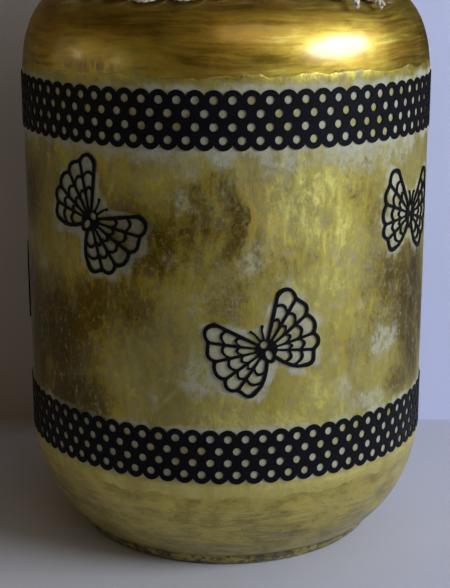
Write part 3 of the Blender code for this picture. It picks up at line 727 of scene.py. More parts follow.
THREAD_Z, THREAD_PITCH, THREAD_TURNS, THREAD_DEPTH = 146.0, 3.4, 1.15, 1.0


def thread_relief(turn, r, z):
    """Radius that the helical thread adds on the outside of the finish."""
    if r < NECK_R - 0.7 or z < 144.6 or z > 152.0:
        return 0.0
    best = 0.0
    for wind in (0, 1, 2):
        share = (turn / (2 * math.pi) + wind - 33.0 / 360) / THREAD_TURNS
        if 0.0 <= share <= 1.0:
            swell = min(1.0, 8 * share, 8 * (1 - share))
            off = (z - THREAD_Z - THREAD_PITCH * THREAD_TURNS * share) / 1.05
            if abs(off) < 1:
                best = max(best, THREAD_DEPTH * swell * (0.5 + 0.5 * math.cos(math.pi * off)) ** 0.8)
    return best


def glass_relief(turn, r, z):
    """The glass's slight waviness, and the thread."""
    wave = noise.noise(Vector((2.2 * math.sin(turn), 2.2 * math.cos(turn), z / 16.0)))
    return 0.06 * wave * min(1.0, r / 20.0) * (0.0 if z < 0.6 else 1.0) + thread_relief(turn, r, z)


def jar_outline():
    """The jar's section from under its base, up the outside and down the inside to the floor."""
    under = [(0, 3.6), (8, 3.5), (16, 3.15), (24, 2.5), (29, 1.55), (32, 0.75), (33.4, 0.2), (34.1, 0.0)]
    foot = [(35.0, 0.0), (35.8, 0.0), (36.4, 0.2), (36.95, 0.65), (37.35, 1.25), (37.5, 1.9)]
    foot += [(37.5, 2.4), (37.6, 2.75), (37.95, 3.0)]
    top, a, b = HEEL
    heel = []
    for i in range(25):
        t = math.radians(-49.0 + 49.0 * i / 24)
        heel.append((R - a + a * math.cos(t), top + b * math.sin(t)))
    wall = [(R, z) for z in range(34, 114, 8)]
    shoulder = [shoulder_point(79.0 * i / 22) for i in range(23)]
    neck = [(40.0, 133.1), (39.45, 133.45), (39.05, 133.95), (38.85, 134.6), (NECK_R, 135.6)]
    neck += [(NECK_R, 138.0), (NECK_R, 140.4), (NECK_R, 141.2)]
    bead = []
    for i in range(11):
        s = i / 10
        bead.append((NECK_R + (BEAD_R - NECK_R) * math.sin(math.pi * s) ** 0.6, BEAD_Z - 1.5 + 3.0 * s))
    finish = [(NECK_R, 144.8 + 0.27 * i) for i in range(26)]
    lip = []
    for i in range(7):
        t = math.radians(90 * i / 6)
        lip.append((NECK_R - 1.1 + 1.1 * math.cos(t), JAR_TOP - 1.1 + 1.1 * math.sin(t)))
    for i in range(6):
        t = math.radians(90 + 90 * i / 5)
        lip.append((MOUTH_R + 0.9 + 0.9 * math.cos(t), JAR_TOP - 0.9 + 0.9 * math.sin(t)))
    knots = [(MOUTH_R, 151.0), (MOUTH_R, 146.0), (MOUTH_R, 140.0), (MOUTH_R, 135.5), (36.1, 132.6),
             (38.2, 129.6), (42.2, 125.4), (45.2, 119.6), (46.2, 112.0), (46.2, 90.0), (46.2, 60.0),
             (46.2, 30.0), (45.6, 22.0), (43.6, 15.4), (39.8, 10.8), (33.6, 8.45), (27.0, FLOOR_Z),
             (14.0, FLOOR_Z)]
    inside = smooth_path([Vector((r, z, 0)) for r, z in knots], 2.2)
    outside = under + foot + heel + wall + shoulder + neck + bead + finish
    whole = outside + lip + [(p.x, p.y) for p in inside] + [(0.0, FLOOR_Z)]
    slots = [0] * (len(outside) + 5) + [1] * (len(whole) - len(outside) - 5)
    return whole, slots


def build_jar():
    outline, slots = jar_outline()
    jar = lathe("jar_glass", outline, 288, [painted_glass(), inner_glass()], slots, radial=glass_relief)
    stand_in_for(jar, "glass_jar")


# ---------------------------------------------------------------- the tissue wrap

AROUND = 2 * math.pi * R


def round_the_jar(x, centre):
    """Signed distance of unrolled places x from a centre, the shorter way round."""
    return (x - centre + AROUND / 2) % AROUND - AROUND / 2


def ring_noise(turn, frequency, seed, z=0.0):
    return noise.noise(Vector((frequency * math.sin(turn), frequency * math.cos(turn), seed + z)))


def crease_field(x, z):
    """Heights (0 to 1) of the tissue's folds at unrolled places x, z in millimetres."""
    count = 420
    cx, cz = rng.uniform(0, AROUND, count), rng.uniform(16, 122, count)
    lean = np.radians(rng.normal(6, 24, count))
    half = rng.uniform(2.5, 13.0, count)
    width = rng.uniform(0.28, 0.6, count)
    tall = rng.uniform(0.25, 1.0, count)
    bend = rng.normal(0, 0.016, count)
    field = np.zeros_like(x)
    for degrees, height, reach, wide in FOLDS:
        dx = round_the_jar(x, math.radians(degrees) * R)
        swell = np.clip(1 - ((z - height) / reach) ** 2, 0, 1)
        field = np.maximum(field, swell * np.exp(-(dx / wide) ** 2))
    for i in range(count):
        dx = round_the_jar(x, cx[i])
        dz = z - cz[i]
        along = dz * math.cos(lean[i]) + dx * math.sin(lean[i])
        across = dx * math.cos(lean[i]) - dz * math.sin(lean[i]) - bend[i] * along * along
        reach = np.clip(1 - (along / half[i]) ** 2, 0, 1)
        field = np.maximum(field, tall[i] * reach * np.exp(-(across / width[i]) ** 2))
    return field


def halo_field(x, z):
    """1 on the pale tissue under and round the stickers, falling to 0 a few millimetres away."""
    field = np.zeros_like(x)
    for centre, _, below, above in BANDS.values():
        away = np.maximum((centre - BAND_REACH - z) / below, (z - centre - BAND_REACH) / above)
        field = np.maximum(field, np.clip(1.1 - away, 0, 1))
    for degrees, height, tilt, size in BUTTERFLIES.values():
        dx = round_the_jar(x, math.radians(degrees) * R)
        dz = z - height
        near = np.hypot(dx, dz) < 20
        t = math.radians(tilt)
        px = dx[near] * math.cos(t) - dz[near] * math.sin(t)
        py = dx[near] * math.sin(t) + dz[near] * math.cos(t)
        angle = np.degrees(np.arctan2(px, py))
        rim = np.array([wing_radius(a) for a in angle])
        soft = np.clip((np.abs(angle) - 20) / 16, 0, 1) * np.clip((168 - np.abs(angle)) / 16, 0, 1)
        rim = np.where(rim > 5.0, rim, 5.0 + 6.0 * soft)
        away = np.hypot(px, py) - rim * size
        field[near] = np.maximum(field[near], np.clip(1.05 - away / 2.9, 0, 1))
    return field


def dab_field(x, z, dabs, extra):
    """How strongly each place is covered by a set of soft-edged dabs, with more of them round the back."""
    field = np.zeros_like(x)
    dabs = list(dabs)
    for _ in range(extra):
        dabs.append((rng.uniform(82, 278), rng.uniform(38, 102), rng.uniform(4, 14), rng.uniform(4, 15),
                     rng.uniform(0.4, 1.0)))
    for degrees, height, wide, tall, strength in dabs:
        dx = round_the_jar(x, math.radians(degrees) * R)
        reach = np.hypot(dx / wide, (z - height) / tall)
        field = np.maximum(field, strength * np.clip(1.35 - reach, 0, 1))
    return field


def build_tissue():
    cols, rows = 432, 124
    turns = 2 * np.pi * np.arange(cols) / cols
    low = np.array([TISSUE_LOW + 2.4 * abs(ring_noise(t, 3.0, 1.7)) + 1.2 * abs(ring_noise(t, 11.0, 4.2))
                    + 0.3 * ring_noise(t, 40.0, 8.0) for t in turns])
    high = np.array([TISSUE_HIGH - 1.4 * abs(ring_noise(t, 3.5, 12.0))
                     - 0.8 * abs(ring_noise(t, 13.0, 15.0)) - 0.25 * ring_noise(t, 45.0, 19.0)
                     for t in turns])
    share = (np.arange(rows) / (rows - 1))[:, None]
    z = low[None, :] + (high - low)[None, :] * share
    x = np.broadcast_to(turns[None, :] * R, z.shape)
    crease = crease_field(x.ravel(), z.ravel()).reshape(z.shape)
    halo = halo_field(x.ravel(), z.ravel()).reshape(z.shape)
    tattered = np.array([0.9 + 0.8 * ring_noise(t, 9.0, 31.0) for t in turns])[None, :]
    edge = np.maximum(np.clip(1 - (z - low[None, :]) / (2.6 * tattered), 0, 1),
                      np.clip(1 - (high[None, :] - z) / (1.8 * tattered), 0, 1))
    under_tape = np.zeros_like(z)
    for centre, *_ in BANDS.values():
        under_tape = np.maximum(under_tape, np.clip(BAND_REACH + 1.0 - np.abs(z - centre), 0, 1))
    flat = 1 - 0.85 * np.maximum(under_tape, 0.8 * halo)
    verts, inner = [], []
    for i in range(rows):
        for j in range(cols):
            t, zz = turns[j], z[i, j]
            rough = 0.5 * noise.noise(Vector((math.sin(t) * 30, math.cos(t) * 30, zz / 2.4)))
            rise = TISSUE_LIFT + CREASE_RISE * crease[i, j] * flat[i, j] + 0.03 * rough
            rise = rise * (1 - edge[i, j]) - EDGE_SINK
            rr = jar_radius(zz) + rise
            verts.append((rr * math.sin(t) * MM, -rr * math.cos(t) * MM, zz * MM))
            rr -= TISSUE_T
            inner.append((rr * math.sin(t) * MM, -rr * math.cos(t) * MM, zz * MM))
    total = rows * cols
    faces = grid_faces(rows, cols)
    faces += [(a + total, d + total, c + total, b + total) for a, b, c, d in faces]
    for j in range(cols):
        k = (j + 1) % cols
        faces.append((j, j + total, k + total, k))
        a = (rows - 1) * cols
        faces.append((a + k, a + k + total, a + j + total, a + j))
    piece = make_object("tissue_sleeve", verts + inner, faces, [gilded_tissue()], sharp=None)
    spots = (x.ravel(), z.ravel())
    # The tone field: the dark dabs paint shade into the tissue, the bright dabs paint sheen
    dab_tone_and_painted_light = dab_field(*spots, BRIGHT_SHEEN_DABS, 9) - dab_field(*spots, DARK_SHADE_DABS, 12)
    bare = dab_field(*spots, BARE_DABS, 16)
    brushed = dab_field(*spots, BRUSHED_DABS, 4)
    fields = {"halo": halo, "edge": edge, "crease": crease, "dab_tone_and_painted_light": dab_tone_and_painted_light, "bare": bare, "brushed": brushed}
    for name, values in fields.items():
        layer = piece.data.attributes.new(name, "FLOAT", "POINT")
        layer.data.foreach_set("value", np.tile(values.ravel(), 2).astype(np.float32))
    stand_in_for(piece, "tissue_wrap")


# ---------------------------------------------------------------- eyelet bands

def eyelet_cell(row, rows, pitch):
    """The boundary of one dot's cell, counter-clockwise from the lower right, round its hole."""
    half, step = pitch / 2, BAND_STEP
    rise = step / 2 + half * half / (2 * step)
    side = step - rise
    cusp = math.sqrt(SCALLOP_R ** 2 - half ** 2)

    def split(a, b, cuts):
        return [(a[0] + (b[0] - a[0]) * k / cuts, a[1] + (b[1] - a[1]) * k / cuts) for k in range(cuts)]

    def cap(up):
        start = math.atan2(cusp, half)
        points = []
        for k in range(10):
            t = start + (math.pi - 2 * start) * k / 10
            points.append((SCALLOP_R * math.cos(t), SCALLOP_R * math.sin(t)))
        return points if up else [(-px, -py) for px, py in points]

    top, bottom = row == rows - 1, row == 0
    high = cusp if top else side
    low = -cusp if bottom else -side
    def peak(up):
        start, middle, end = (half, side), (0, rise), (-half, side)
        points = split(start, middle, 4) + split(middle, end, 4)
        return points if up else [(-px, -py) for px, py in points]

    outline = split((half, low), (half, high), 4)
    outline += cap(True) if top else peak(True)
    outline += split((-half, high), (-half, low), 4)
    outline += cap(False) if bottom else peak(False)
    return outline


def build_band(name, centre, phase):
    """A strip of eyelets, cell by cell, as a closed sheet with rounded hole edges."""
    pitch = 2 * math.pi * STICKER_R / BAND_PITCHES
    rows = BAND_ROWS
    levels = ((0.0, 0.0), (0.0, STICKER_T - STICKER_BEVEL), (STICKER_BEVEL, STICKER_T))
    verts, faces = [], []

    def point(px, py, h):
        radius = STICKER_R + h + 0.03 * noise.noise(Vector((px / 6, py / 6, centre)))
        return place(radius * MM, math.degrees(px / STICKER_R), (centre + py) * MM)

    for row in range(rows):
        y = (row - 1.5) * BAND_STEP
        cell = eyelet_cell(row, rows, pitch)
        n = len(cell)
        for column in range(BAND_PITCHES):
            x = column * pitch + math.radians(phase) * STICKER_R + (pitch / 2 if row % 2 == 0 else 0.0)
            base = len(verts)
            for grow, h in levels:
                for cx, cy in cell:
                    size = math.hypot(cx, cy)
                    hole = (HOLE_R + grow) / size
                    verts.append(point(x + cx * hole, y + cy * hole, h))
                for cx, cy in cell:
                    size = math.hypot(cx, cy)
                    outer = abs(size - SCALLOP_R) < 1e-6
                    shrink = 1.0 - (grow / size if outer else 0.0)
                    verts.append(point(x + cx * shrink, y + cy * shrink, h))
            for i in range(n):
                j = (i + 1) % n
                lay = [base + 2 * n * level for level in range(3)]
                faces.append((lay[2] + i, lay[2] + j, lay[2] + n + j, lay[2] + n + i))
                faces.append((lay[0] + i, lay[0] + n + i, lay[0] + n + j, lay[0] + j))
                for lower, upper in ((lay[0], lay[1]), (lay[1], lay[2])):
                    faces.append((lower + i, lower + j, upper + j, upper + i))
                ends = [abs(math.hypot(*cell[k]) - SCALLOP_R) < 1e-6 for k in (i, j)]
                outward = (cell[i][1] + cell[j][1]) * (1 if row else -1) > 0
                if all(ends) and outward and row in (0, rows - 1):
                    for lower, upper in ((lay[0], lay[1]), (lay[1], lay[2])):
                        faces.append((lower + n + i, upper + n + i, upper + n + j, lower + n + j))
    bm = bmesh.new()
    made = [bm.verts.new(v) for v in verts]
    for face in faces:
        bm.faces.new([made[i] for i in face])
    bmesh.ops.remove_doubles(bm, verts=bm.verts, dist=0.02 * MM)
    band = sheet_object(name.replace("_band", "_tape"), bm, MATERIALS["black"])
    stand_in_for(band, name)


# ---------------------------------------------------------------- butterflies

VEIN, RIM = 0.70, 0.84


def polar(radius, degrees, side=1):
    t = math.radians(degrees)
    return (side * radius * math.sin(t), radius * math.cos(t))


def rounded(corners, radius, cuts=4):
    """Rounds a polygon's corners, and leaves points that lie on gentle curves alone."""
    n = len(corners)
    result = []
    for i in range(n):
        p0, p1, p2 = (Vector((*corners[(i + k) % n], 0)) for k in (-1, 0, 1))
        a, b = p0 - p1, p2 - p1
        bend = math.pi - a.angle(b)
        if bend < math.radians(25):
            result.append((p1.x, p1.y))
            continue
        reach = min(radius, 0.48 * a.length, 0.48 * b.length)
        start, end = p1 + a.normalized() * reach, p1 + b.normalized() * reach
        for k in range(cuts + 1):
            t = k / cuts
            q = start * (1 - t) ** 2 + p1 * 2 * t * (1 - t) + end * t * t
            result.append((q.x, q.y))
    return result


def wing_end(sector, radius):
    """The angle where a sector ends; the last one ends on the wing's rounded trailing edge."""
    if sector < len(WING_PEAKS) - 1:
        return WING_ANGLES[sector + 1]
    reaches, angles = zip(*WING_TRAIL)
    return float(np.interp(radius, reaches, angles))


def wing_outline(side):
    """A wing's scalloped edge, with the width of its first vein."""
    points = []
    for i in range(len(WING_PEAKS)):
        start, end = WING_ANGLES[i], WING_ANGLES[i + 1]
        for k in range(9):
            s = k / 9
            a = start + (end - start) * s
            points.append(polar(wing_radius(a + 0.01), a - (1.9 * (1 - s) if i == 0 else 0.0), side))
    lower = [polar(reach, angle + 0.4, side) for reach, angle in reversed(WING_TRAIL)]
    upper = [polar(2.35, 27.0, side), polar(4.5, 30.6, side), polar(8.5, 33.6, side)]
    return upper + points + lower


def arc_radius(ring, sector, share):
    """Radius of one of the wing's cross veins, part of the way across a sector."""
    radii = WING_ARCS[ring]
    return radii[sector] * (1 - share) + radii[sector + 1] * share + 0.70 * math.sin(math.pi * share)


def vein_width(radius):
    """The veins taper towards the body."""
    return VEIN * min(1.0, 0.62 + 0.38 * (radius - 2.3) / 4.0)


def wing_windows(side):
    windows = []
    last = len(WING_PEAKS) - 1
    for i in range(last + 1):
        start, end = WING_ANGLES[i], WING_ANGLES[i + 1]
        root = 2.5
        nears = (lambda s: root, lambda s: arc_radius(0, i, s) + VEIN / 2,
                 lambda s: arc_radius(1, i, s) + VEIN / 2)
        fars = (lambda s: arc_radius(0, i, s) - VEIN / 2, lambda s: arc_radius(1, i, s) - VEIN / 2,
                lambda s: wing_radius(start + (end - start) * s) - RIM)
        for near, far in zip(nears, fars):
            loop = []
            for reach, shares in ((near, range(9)), (far, range(8, -1, -1))):
                for k in shares:
                    radius = reach(k / 8)
                    side_a = math.degrees(vein_width(radius) / 2 / radius)
                    side_b = math.degrees((RIM if i == last else vein_width(radius) / 2) / radius)
                    low, high = start + side_a, wing_end(i, radius) - side_b
                    loop.append(polar(radius, low + (high - low) * k / 8, side))
            windows.append(rounded(loop, 0.8))
    return windows


def antenna_edges(side):
    """Outline points of one curled antenna, from beside the head and back."""
    spine = [polar(2.2, 11, side), polar(3.5, 11, side), polar(4.7, 12, side), polar(5.7, 16, side)]
    spine = [(v.x, v.y) for v in smooth_path([Vector((*p, 0)) for p in spine], 0.4)]
    left, right = [], []
    for i, p in enumerate(spine):
        q = spine[min(i + 1, len(spine) - 1)]
        o = spine[max(i - 1, 0)]
        d = Vector((q[0] - o[0], q[1] - o[1])).normalized()
        w = 0.23 + (0.10 if i >= len(spine) - 2 else 0.0)
        left.append((p[0] - d.y * w * side, p[1] + d.x * w * side))
        right.append((p[0] + d.y * w * side, p[1] - d.x * w * side))
    return left + right[::-1]


def ellipse(cx, cy, rx, ry, count=16):
    return [(cx + rx * math.cos(2 * math.pi * k / count), cy + ry * math.sin(2 * math.pi * k / count))
            for k in range(count)]


def butterfly_loops():
    head = [polar(2.6, 0), polar(2.5, 6)]
    half = {}
    for side in (1, -1):
        half[side] = antenna_edges(side) + wing_outline(side)
    tail = [(0.9, -2.9), (0.45, -3.35), (0.0, -3.5), (-0.45, -3.35), (-0.9, -2.9)]
    outline = head + half[1] + tail + half[-1][::-1] + [polar(2.5, -6)]
    loops = [rounded(outline, 0.3, 2)]
    loops += wing_windows(1) + wing_windows(-1)
    loops += [ellipse(0, 1.25, 0.85, 0.85), ellipse(0, -1.45, 0.72, 1.2)]
    return loops


def build_butterfly(name, degrees, height, tilt, size, loops):
    t = math.radians(tilt)

    def bend(px, py, h):
        x = size * (px * math.cos(t) + py * math.sin(t))
        y = size * (-px * math.sin(t) + py * math.cos(t))
        lift = 0.04 * noise.noise(Vector((x / 5, y / 5, degrees)))
        return place(STICKER_R + h + lift, degrees + math.degrees(x / STICKER_R), height + y)

    piece = sheet_from_loops(name + "_sticker", loops, BUTTERFLY_T, STICKER_BEVEL, bend,
                             MATERIALS["black"], 4.0)
    stand_in_for(piece, name)


# ---------------------------------------------------------------- wire and bail

WIRE_R, WIRE_Z = 0.8, 139.9
RING_R = NECK_R + 0.3 + WIRE_R
EYE_R, EYE_X, EYE_PITCH = 2.7, 44.6, 2.0
TWIST_R, TWIST_BEND, TWIST_LENGTH = WIRE_R + 0.15, 1.8, 7.0
PIVOT_Z = WIRE_Z + EYE_R
BAIL_R, BAIL_HALF, BAIL_CORNER, BAIL_RISE, TIP_X, TIP_UP = 0.9, 51.8, 2.4, 96.0, 42.2, 2.3


def eye_turn():
    points = []
    for i in range(37):
        t = 2 * math.pi * i / 36
        points.append(Vector((EYE_X + EYE_PITCH * i / 36, EYE_R * math.sin(t),
                              WIRE_Z + EYE_R * (1 - math.cos(t)))))
    return points


def neck_arc(start, end, out_start, out_end, count):
    points = []
    spread = math.radians(16)
    for i in range(count):
        turn = start + (end - start) * i / (count - 1)
        a = max(0.0, 1 - abs(turn - start) / spread)
        b = max(0.0, 1 - abs(turn - end) / spread)
        r = RING_R + out_start * a * a * (3 - 2 * a) + out_end * b * b * (3 - 2 * b)
        points.append(Vector((r * math.cos(turn), r * math.sin(turn), WIRE_Z)))
    return points


def twisted_end(side):
    bend_y = RING_R + TWIST_BEND
    centre = Vector((side * (TWIST_R + TWIST_BEND), bend_y, WIRE_Z))
    points = []
    for k in range(1, 7):
        t = math.radians(15 * k)
        points.append(centre - Vector((side * math.sin(t), math.cos(t), 0)) * TWIST_BEND)
    for k in range(1, 31):
        t = 2 * math.pi * k / 30
        points.append(Vector((side * TWIST_R * math.cos(t), bend_y + TWIST_LENGTH * k / 30,
                              WIRE_Z + side * TWIST_R * math.sin(t))))
    return points


def build_neck_wire():
    inner, outer = EYE_X - RING_R, EYE_X + EYE_PITCH - RING_R
    opening = math.asin((TWIST_R + TWIST_BEND) / RING_R)
    half_turn = Matrix.Rotation(math.pi, 3, "Z")
    path = twisted_end(-1)[::-1]
    path += neck_arc(math.pi / 2 + opening, math.pi, 0, inner, 46)[:-1]
    path += [half_turn @ p for p in eye_turn()]
    path += neck_arc(math.pi, 2 * math.pi, outer, inner, 100)[1:-1]
    path += eye_turn()
    path += neck_arc(0, math.pi / 2 - opening, outer, 0, 46)[1:]
    path += twisted_end(1)
    tubes = Tubes()
    tubes.add([p * MM for p in path], WIRE_R * MM, 14)
    ring = tubes.build("neck_ring_wire", MATERIALS["steel"])
    stand_in_for(ring, "neck_wire")


def build_bail():
    def end(side):
        c = BAIL_CORNER
        points = [(TIP_X, TIP_UP), (TIP_X, 1.9), (TIP_X, 1.4), (TIP_X + 0.12, 0.8), (TIP_X + 0.42, 0.36)]
        points += [(TIP_X + 0.9, 0.08), (TIP_X + 1.5, 0.0), (46.0, 0.0), (BAIL_HALF - c, 0.0)]
        for degrees in (15, 30, 45, 60, 75):
            t = math.radians(degrees)
            points.append((BAIL_HALF - c + c * math.sin(t), c * (1 - math.cos(t))))
        return [Vector((side * x, 0.0, PIVOT_Z + z)) for x, z in points]

    arch = []
    for i in range(121):
        t = math.pi * i / 120
        arch.append(Vector((BAIL_HALF * math.cos(t), 0.0,
                            PIVOT_Z + BAIL_CORNER + (BAIL_RISE - BAIL_CORNER) * math.sin(t))))
    tubes = Tubes()
    tubes.add([p * MM for p in end(1) + arch + end(-1)[::-1]], BAIL_R * MM, 14)
    bail = tubes.build("bail_wire", MATERIALS["steel"])
    stand_in_for(bail, "bail_handle", "bail")


# ---------------------------------------------------------------- lace, cord and bow

LACE_TOP, LACE_T, LACE_SCALLOPS, LACE_UNIT, LACE_START = 138.6, 0.42, 30, 8.9, 186.0
# How far the scallops on the front reach past the others' even rhythm, in millimetres
LACE_TIPS = {12: 3.3, 13: 2.7, 14: 1.4, 15: 1.2, 16: 1.5, 17: 2.9, 18: 4.0, 19: 2.2}
CORD_R, CORD_Z, BOW_ANGLE = 0.9, 135.9, 42.0
CORD_RING_R = NECK_R + 0.3 + 0.5 + 0.3 + CORD_R


def lace_path():
    """(radius, z) down the neck and out over the shoulder, with its length at each point."""
    knots = [(NECK_R + 0.32, LACE_TOP), (NECK_R + 0.32, 137.0), (NECK_R + 0.34, 135.6), (39.75, 134.25)]
    knots += [shoulder_point(a, 0.32) for a in (80, 73, 67, 61, 55, 48)]
    dense = smooth_path([Vector((r, z, 0)) for r, z in knots], 0.3)
    length = [0.0]
    for a, b in zip(dense, dense[1:]):
        length.append(length[-1] + (b - a).length)
    return dense, length


def lace_loops():
    """One strip of lace, x in scallops and y in millimetres down from the top edge."""
    unit = LACE_UNIT
    total = LACE_SCALLOPS * unit - 0.35
    loops, lower = [], []
    for s in range(LACE_SCALLOPS):
        tip = LACE_TIPS.get(s, 2.1 + 0.7 * math.sin(5.3 * s))
        for k in range(24):
            t = k / 24
            x = s * unit + t * unit
            picot = 0.22 * abs(math.sin(math.pi * 6 * t))
            y = 6.15 + tip * math.sin(math.pi * t) ** 0.8 + picot
            lower.append((min(x, total), -y))
        cx = (s + 0.5) * unit
        for k in range(5):
            a = math.radians(-62 + 31 * k)
            px, py = cx + 2.55 * math.sin(a), -(4.2 + 2.35 * math.cos(a))
            petal = []
            for m in range(12):
                q = 2 * math.pi * m / 12
                ex, ey = 0.48 * math.cos(q), 0.72 * math.sin(q)
                petal.append((px + ex * math.cos(a) + ey * math.sin(a),
                              py - ey * math.cos(a) - ex * math.sin(a)))
            loops.append(petal)
        loops.append(ellipse(cx, -4.1, 0.75, 0.62, 12))
        between = (cx - unit / 2 + 0.05, -4.9, 0.5, 0.5) if s else (0.9, -4.9, 0.35, 0.5)
        loops.append(ellipse(*between, 10))
        for k in range(4):
            loops.append(ellipse(s * unit + (k + 0.5) * unit / 4, -1.1, 0.55, 0.42, 10))
            loops.append(ellipse(s * unit + (k + 0.5) * unit / 4, -2.35, 0.42, 0.34, 8))
    upper = [(total - total * k / 240, 0.0) for k in range(241)]
    return [lower[:-1] + [(total, -6.15)] + upper[:-1] + [(0.0, 0.0)]] + loops


def build_lace():
    dense, length = lace_path()
    loops = lace_loops()
    unit_turn = 360.0 / (LACE_SCALLOPS * LACE_UNIT)

    def bend(px, py, h):
        down = min(max(-py, 0.0), length[-1] - 0.01)
        i = max(0, int(np.searchsorted(length, down)) - 1)
        a, b = dense[i], dense[i + 1]
        t = (down - length[i]) / (length[i + 1] - length[i])
        spot = a.lerp(b, t)
        along = (b - a).normalized()
        free = min(1.0, max(0.0, (down - 4.6) / 3.0))
        turn = px * unit_turn + LACE_START
        ripple = math.sin(2 * math.pi * px / LACE_UNIT - math.pi / 2) * 0.5 + 0.5
        flounce = free * (0.15 + 0.55 * ripple + 0.2 * noise.noise(Vector((px / 5, 0.0, 3.0))))
        pinch = 0.05 * math.sin(2 * math.pi * px / 2.2) * (1 - free)
        lift = h + flounce + pinch + 0.04
        return place(spot.x - along.y * lift, turn, spot.y + along.x * lift)

    lace = sheet_from_loops("lace_collar", loops, LACE_T, 0.13, bend, MATERIALS["lace"], 4.4)
    stand_in_for(lace, "lace_trim")


def build_cord():
    ring = [place(CORD_RING_R * MM, 360 * i / 300, CORD_Z * MM) for i in range(300)]
    tubes = Tubes()
    tubes.add_rope(ring, CORD_R * MM, 4.6 * MM, closed=True)
    cord = tubes.build("neck_cord_rope", MATERIALS["cord"])
    stand_in_for(cord, "neck_cord")


def build_bow():
    reach = CORD_RING_R + CORD_R + 0.3
    to_world = Matrix.Translation(place(reach * MM, BOW_ANGLE, CORD_Z * MM))
    to_world = to_world @ Matrix.Rotation(math.radians(BOW_ANGLE), 4, "Z")

    def world(points, step):
        return [to_world @ (p * MM) for p in smooth_path([Vector(p) for p in points], step)]

    tubes = Tubes()
    for side in (-1, 1):
        loop = []
        for i in range(13):
            t = math.radians(32 + 296 * i / 12)
            along, across = 6.0 - 5.0 * math.cos(t), (2.3 + 0.2 * side) * math.sin(t)
            loop.append((side * (along - 0.2 * across), -2.0 - 0.1 * along + 0.25 * math.sin(2 * t),
                         0.3 * along + across))
        tubes.add_rope(world([(0.0, -1.9, 0.0)] + loop + [(0.0, -1.9, 0.2)], 0.35), 0.82 * MM, 4.2 * MM)
        tail = [(0.2, -1.9, -0.2), (1.4, -2.4, -1.3), (2.6, -2.9, -2.7), (3.4, -3.5, -4.1)]
        tail += [(4.3, -4.3, -5.3)]
        if side < 0:
            tail = [(x, y, z * 0.92) for x, y, z in tail]
        tubes.add_rope(world([(side * x, y, z) for x, y, z in tail], 0.3), 0.82 * MM, 4.2 * MM,
                       taper=lambda s: 1.0 if s < 0.86 else 1.0 + 1.6 * (s - 0.86))
    for shift, lean in ((-0.72, 0.25), (0.0, 0.05), (0.72, -0.15)):
        wrap = []
        for i in range(20):
            t = 2 * math.pi * i / 20
            wrap.append((shift + lean * math.sin(t), -1.75 + 1.15 * math.cos(t), 1.45 * math.sin(t)))
        points = [to_world @ (Vector(p) * MM) for p in wrap]
        tubes.add_rope(points, 0.62 * MM, 2.6 * MM, closed=True)
    bow = tubes.build("cord_bow_rope", MATERIALS["cord"])
    stand_in_for(bow, "cord_bow")


# ---------------------------------------------------------------- the tea light

CUP_H, CUP_Z = 16.0, FLOOR_Z + 0.3
WAX_Z, WAX_H = CUP_Z + 0.7, 12.5


def build_cup():
    top = CUP_Z + CUP_H

    def flutes(turn, r, z):
        share = min(1.0, max(0.0, (z - CUP_Z - 1.2) / 2.0)) * min(1.0, max(0.0, (top - 1.6 - z) / 1.5))
        return 0.14 * share * math.sin(48 * turn) if r > 18.4 else 0.0

    outer = [(0, CUP_Z + 0.35), (7, CUP_Z + 0.35), (8, CUP_Z + 0.05), (12, CUP_Z), (17.0, CUP_Z)]
    outer += [(17.9, CUP_Z + 0.12), (18.55, CUP_Z + 0.5), (18.85, CUP_Z + 1.1)]
    outer += [(18.9, CUP_Z + 1.2 + (CUP_H - 2.6) * k / 8) for k in range(9)]
    rim = [(18.95, top - 0.9), (19.1, top - 0.62), (19.4, top - 0.5), (19.5, top - 0.3)]
    rim += [(19.42, top - 0.08), (19.15, top), (18.8, top - 0.08), (18.66, top - 0.3)]
    inner = [(18.64, top - 1.4), (18.64, CUP_Z + 6), (18.6, CUP_Z + 1.2), (18.3, CUP_Z + 0.6)]
    inner += [(17.6, CUP_Z + 0.42), (9, CUP_Z + 0.42), (0, CUP_Z + 0.5)]
    cup_foil = foil("cup_foil", (0.86, 0.86, 0.87), 0.30)
    cup = lathe("foil_cup", outer + rim + inner, 288, [cup_foil], radial=flutes)
    stand_in_for(cup, "candle_cup", "candle")


def build_wax():
    wax_top = WAX_Z + WAX_H

    def wax_relief(turn, r, z):
        if not 2.5 < r < 17:
            return 0.0
        return 0.12 * noise.noise(Vector((3 * math.sin(turn), 3 * math.cos(turn), r + z)))

    body = [(6.8, WAX_Z), (12, WAX_Z), (17.2, WAX_Z), (18.0, WAX_Z + 0.4), (18.25, WAX_Z + 1.0)]
    body += [(18.25, wax_top - 0.7), (18.1, wax_top - 0.35), (17.6, wax_top - 0.12)]
    body += [(16.4, wax_top - 0.05), (13, wax_top - 0.22), (9, wax_top - 0.42), (6, wax_top - 0.55)]
    body += [(4, wax_top - 0.5), (2.8, wax_top - 0.28), (2.0, wax_top - 0.05), (1.55, wax_top)]
    body += [(1.25, wax_top - 0.2), (1.2, wax_top - 1.0), (1.2, WAX_Z + 3.5), (1.9, WAX_Z + 3.5)]
    body += [(1.9, WAX_Z + 0.7), (6.8, WAX_Z + 0.7)]
    wax = lathe("wax_body", body, 128, [candle_wax_material()], ring=True, radial=wax_relief)
    stand_in_for(wax, "candle_wax", "candle")


def build_wick_foot():
    tab = [(1.2, 0.0), (6.3, 0.0), (6.5, 0.12), (6.5, 0.3), (6.35, 0.4), (2.2, 0.4), (1.75, 0.6)]
    tab += [(1.6, 1.1), (1.6, 3.05), (1.5, 3.2), (1.2, 3.2)]
    tab = [(r, WAX_Z + z) for r, z in tab]
    sustainer = lathe("wick_foot", tab, 64, [foil("tinned_steel", (0.62, 0.61, 0.60), 0.34)], ring=True)
    stand_in_for(sustainer, "wick_tab", "candle")


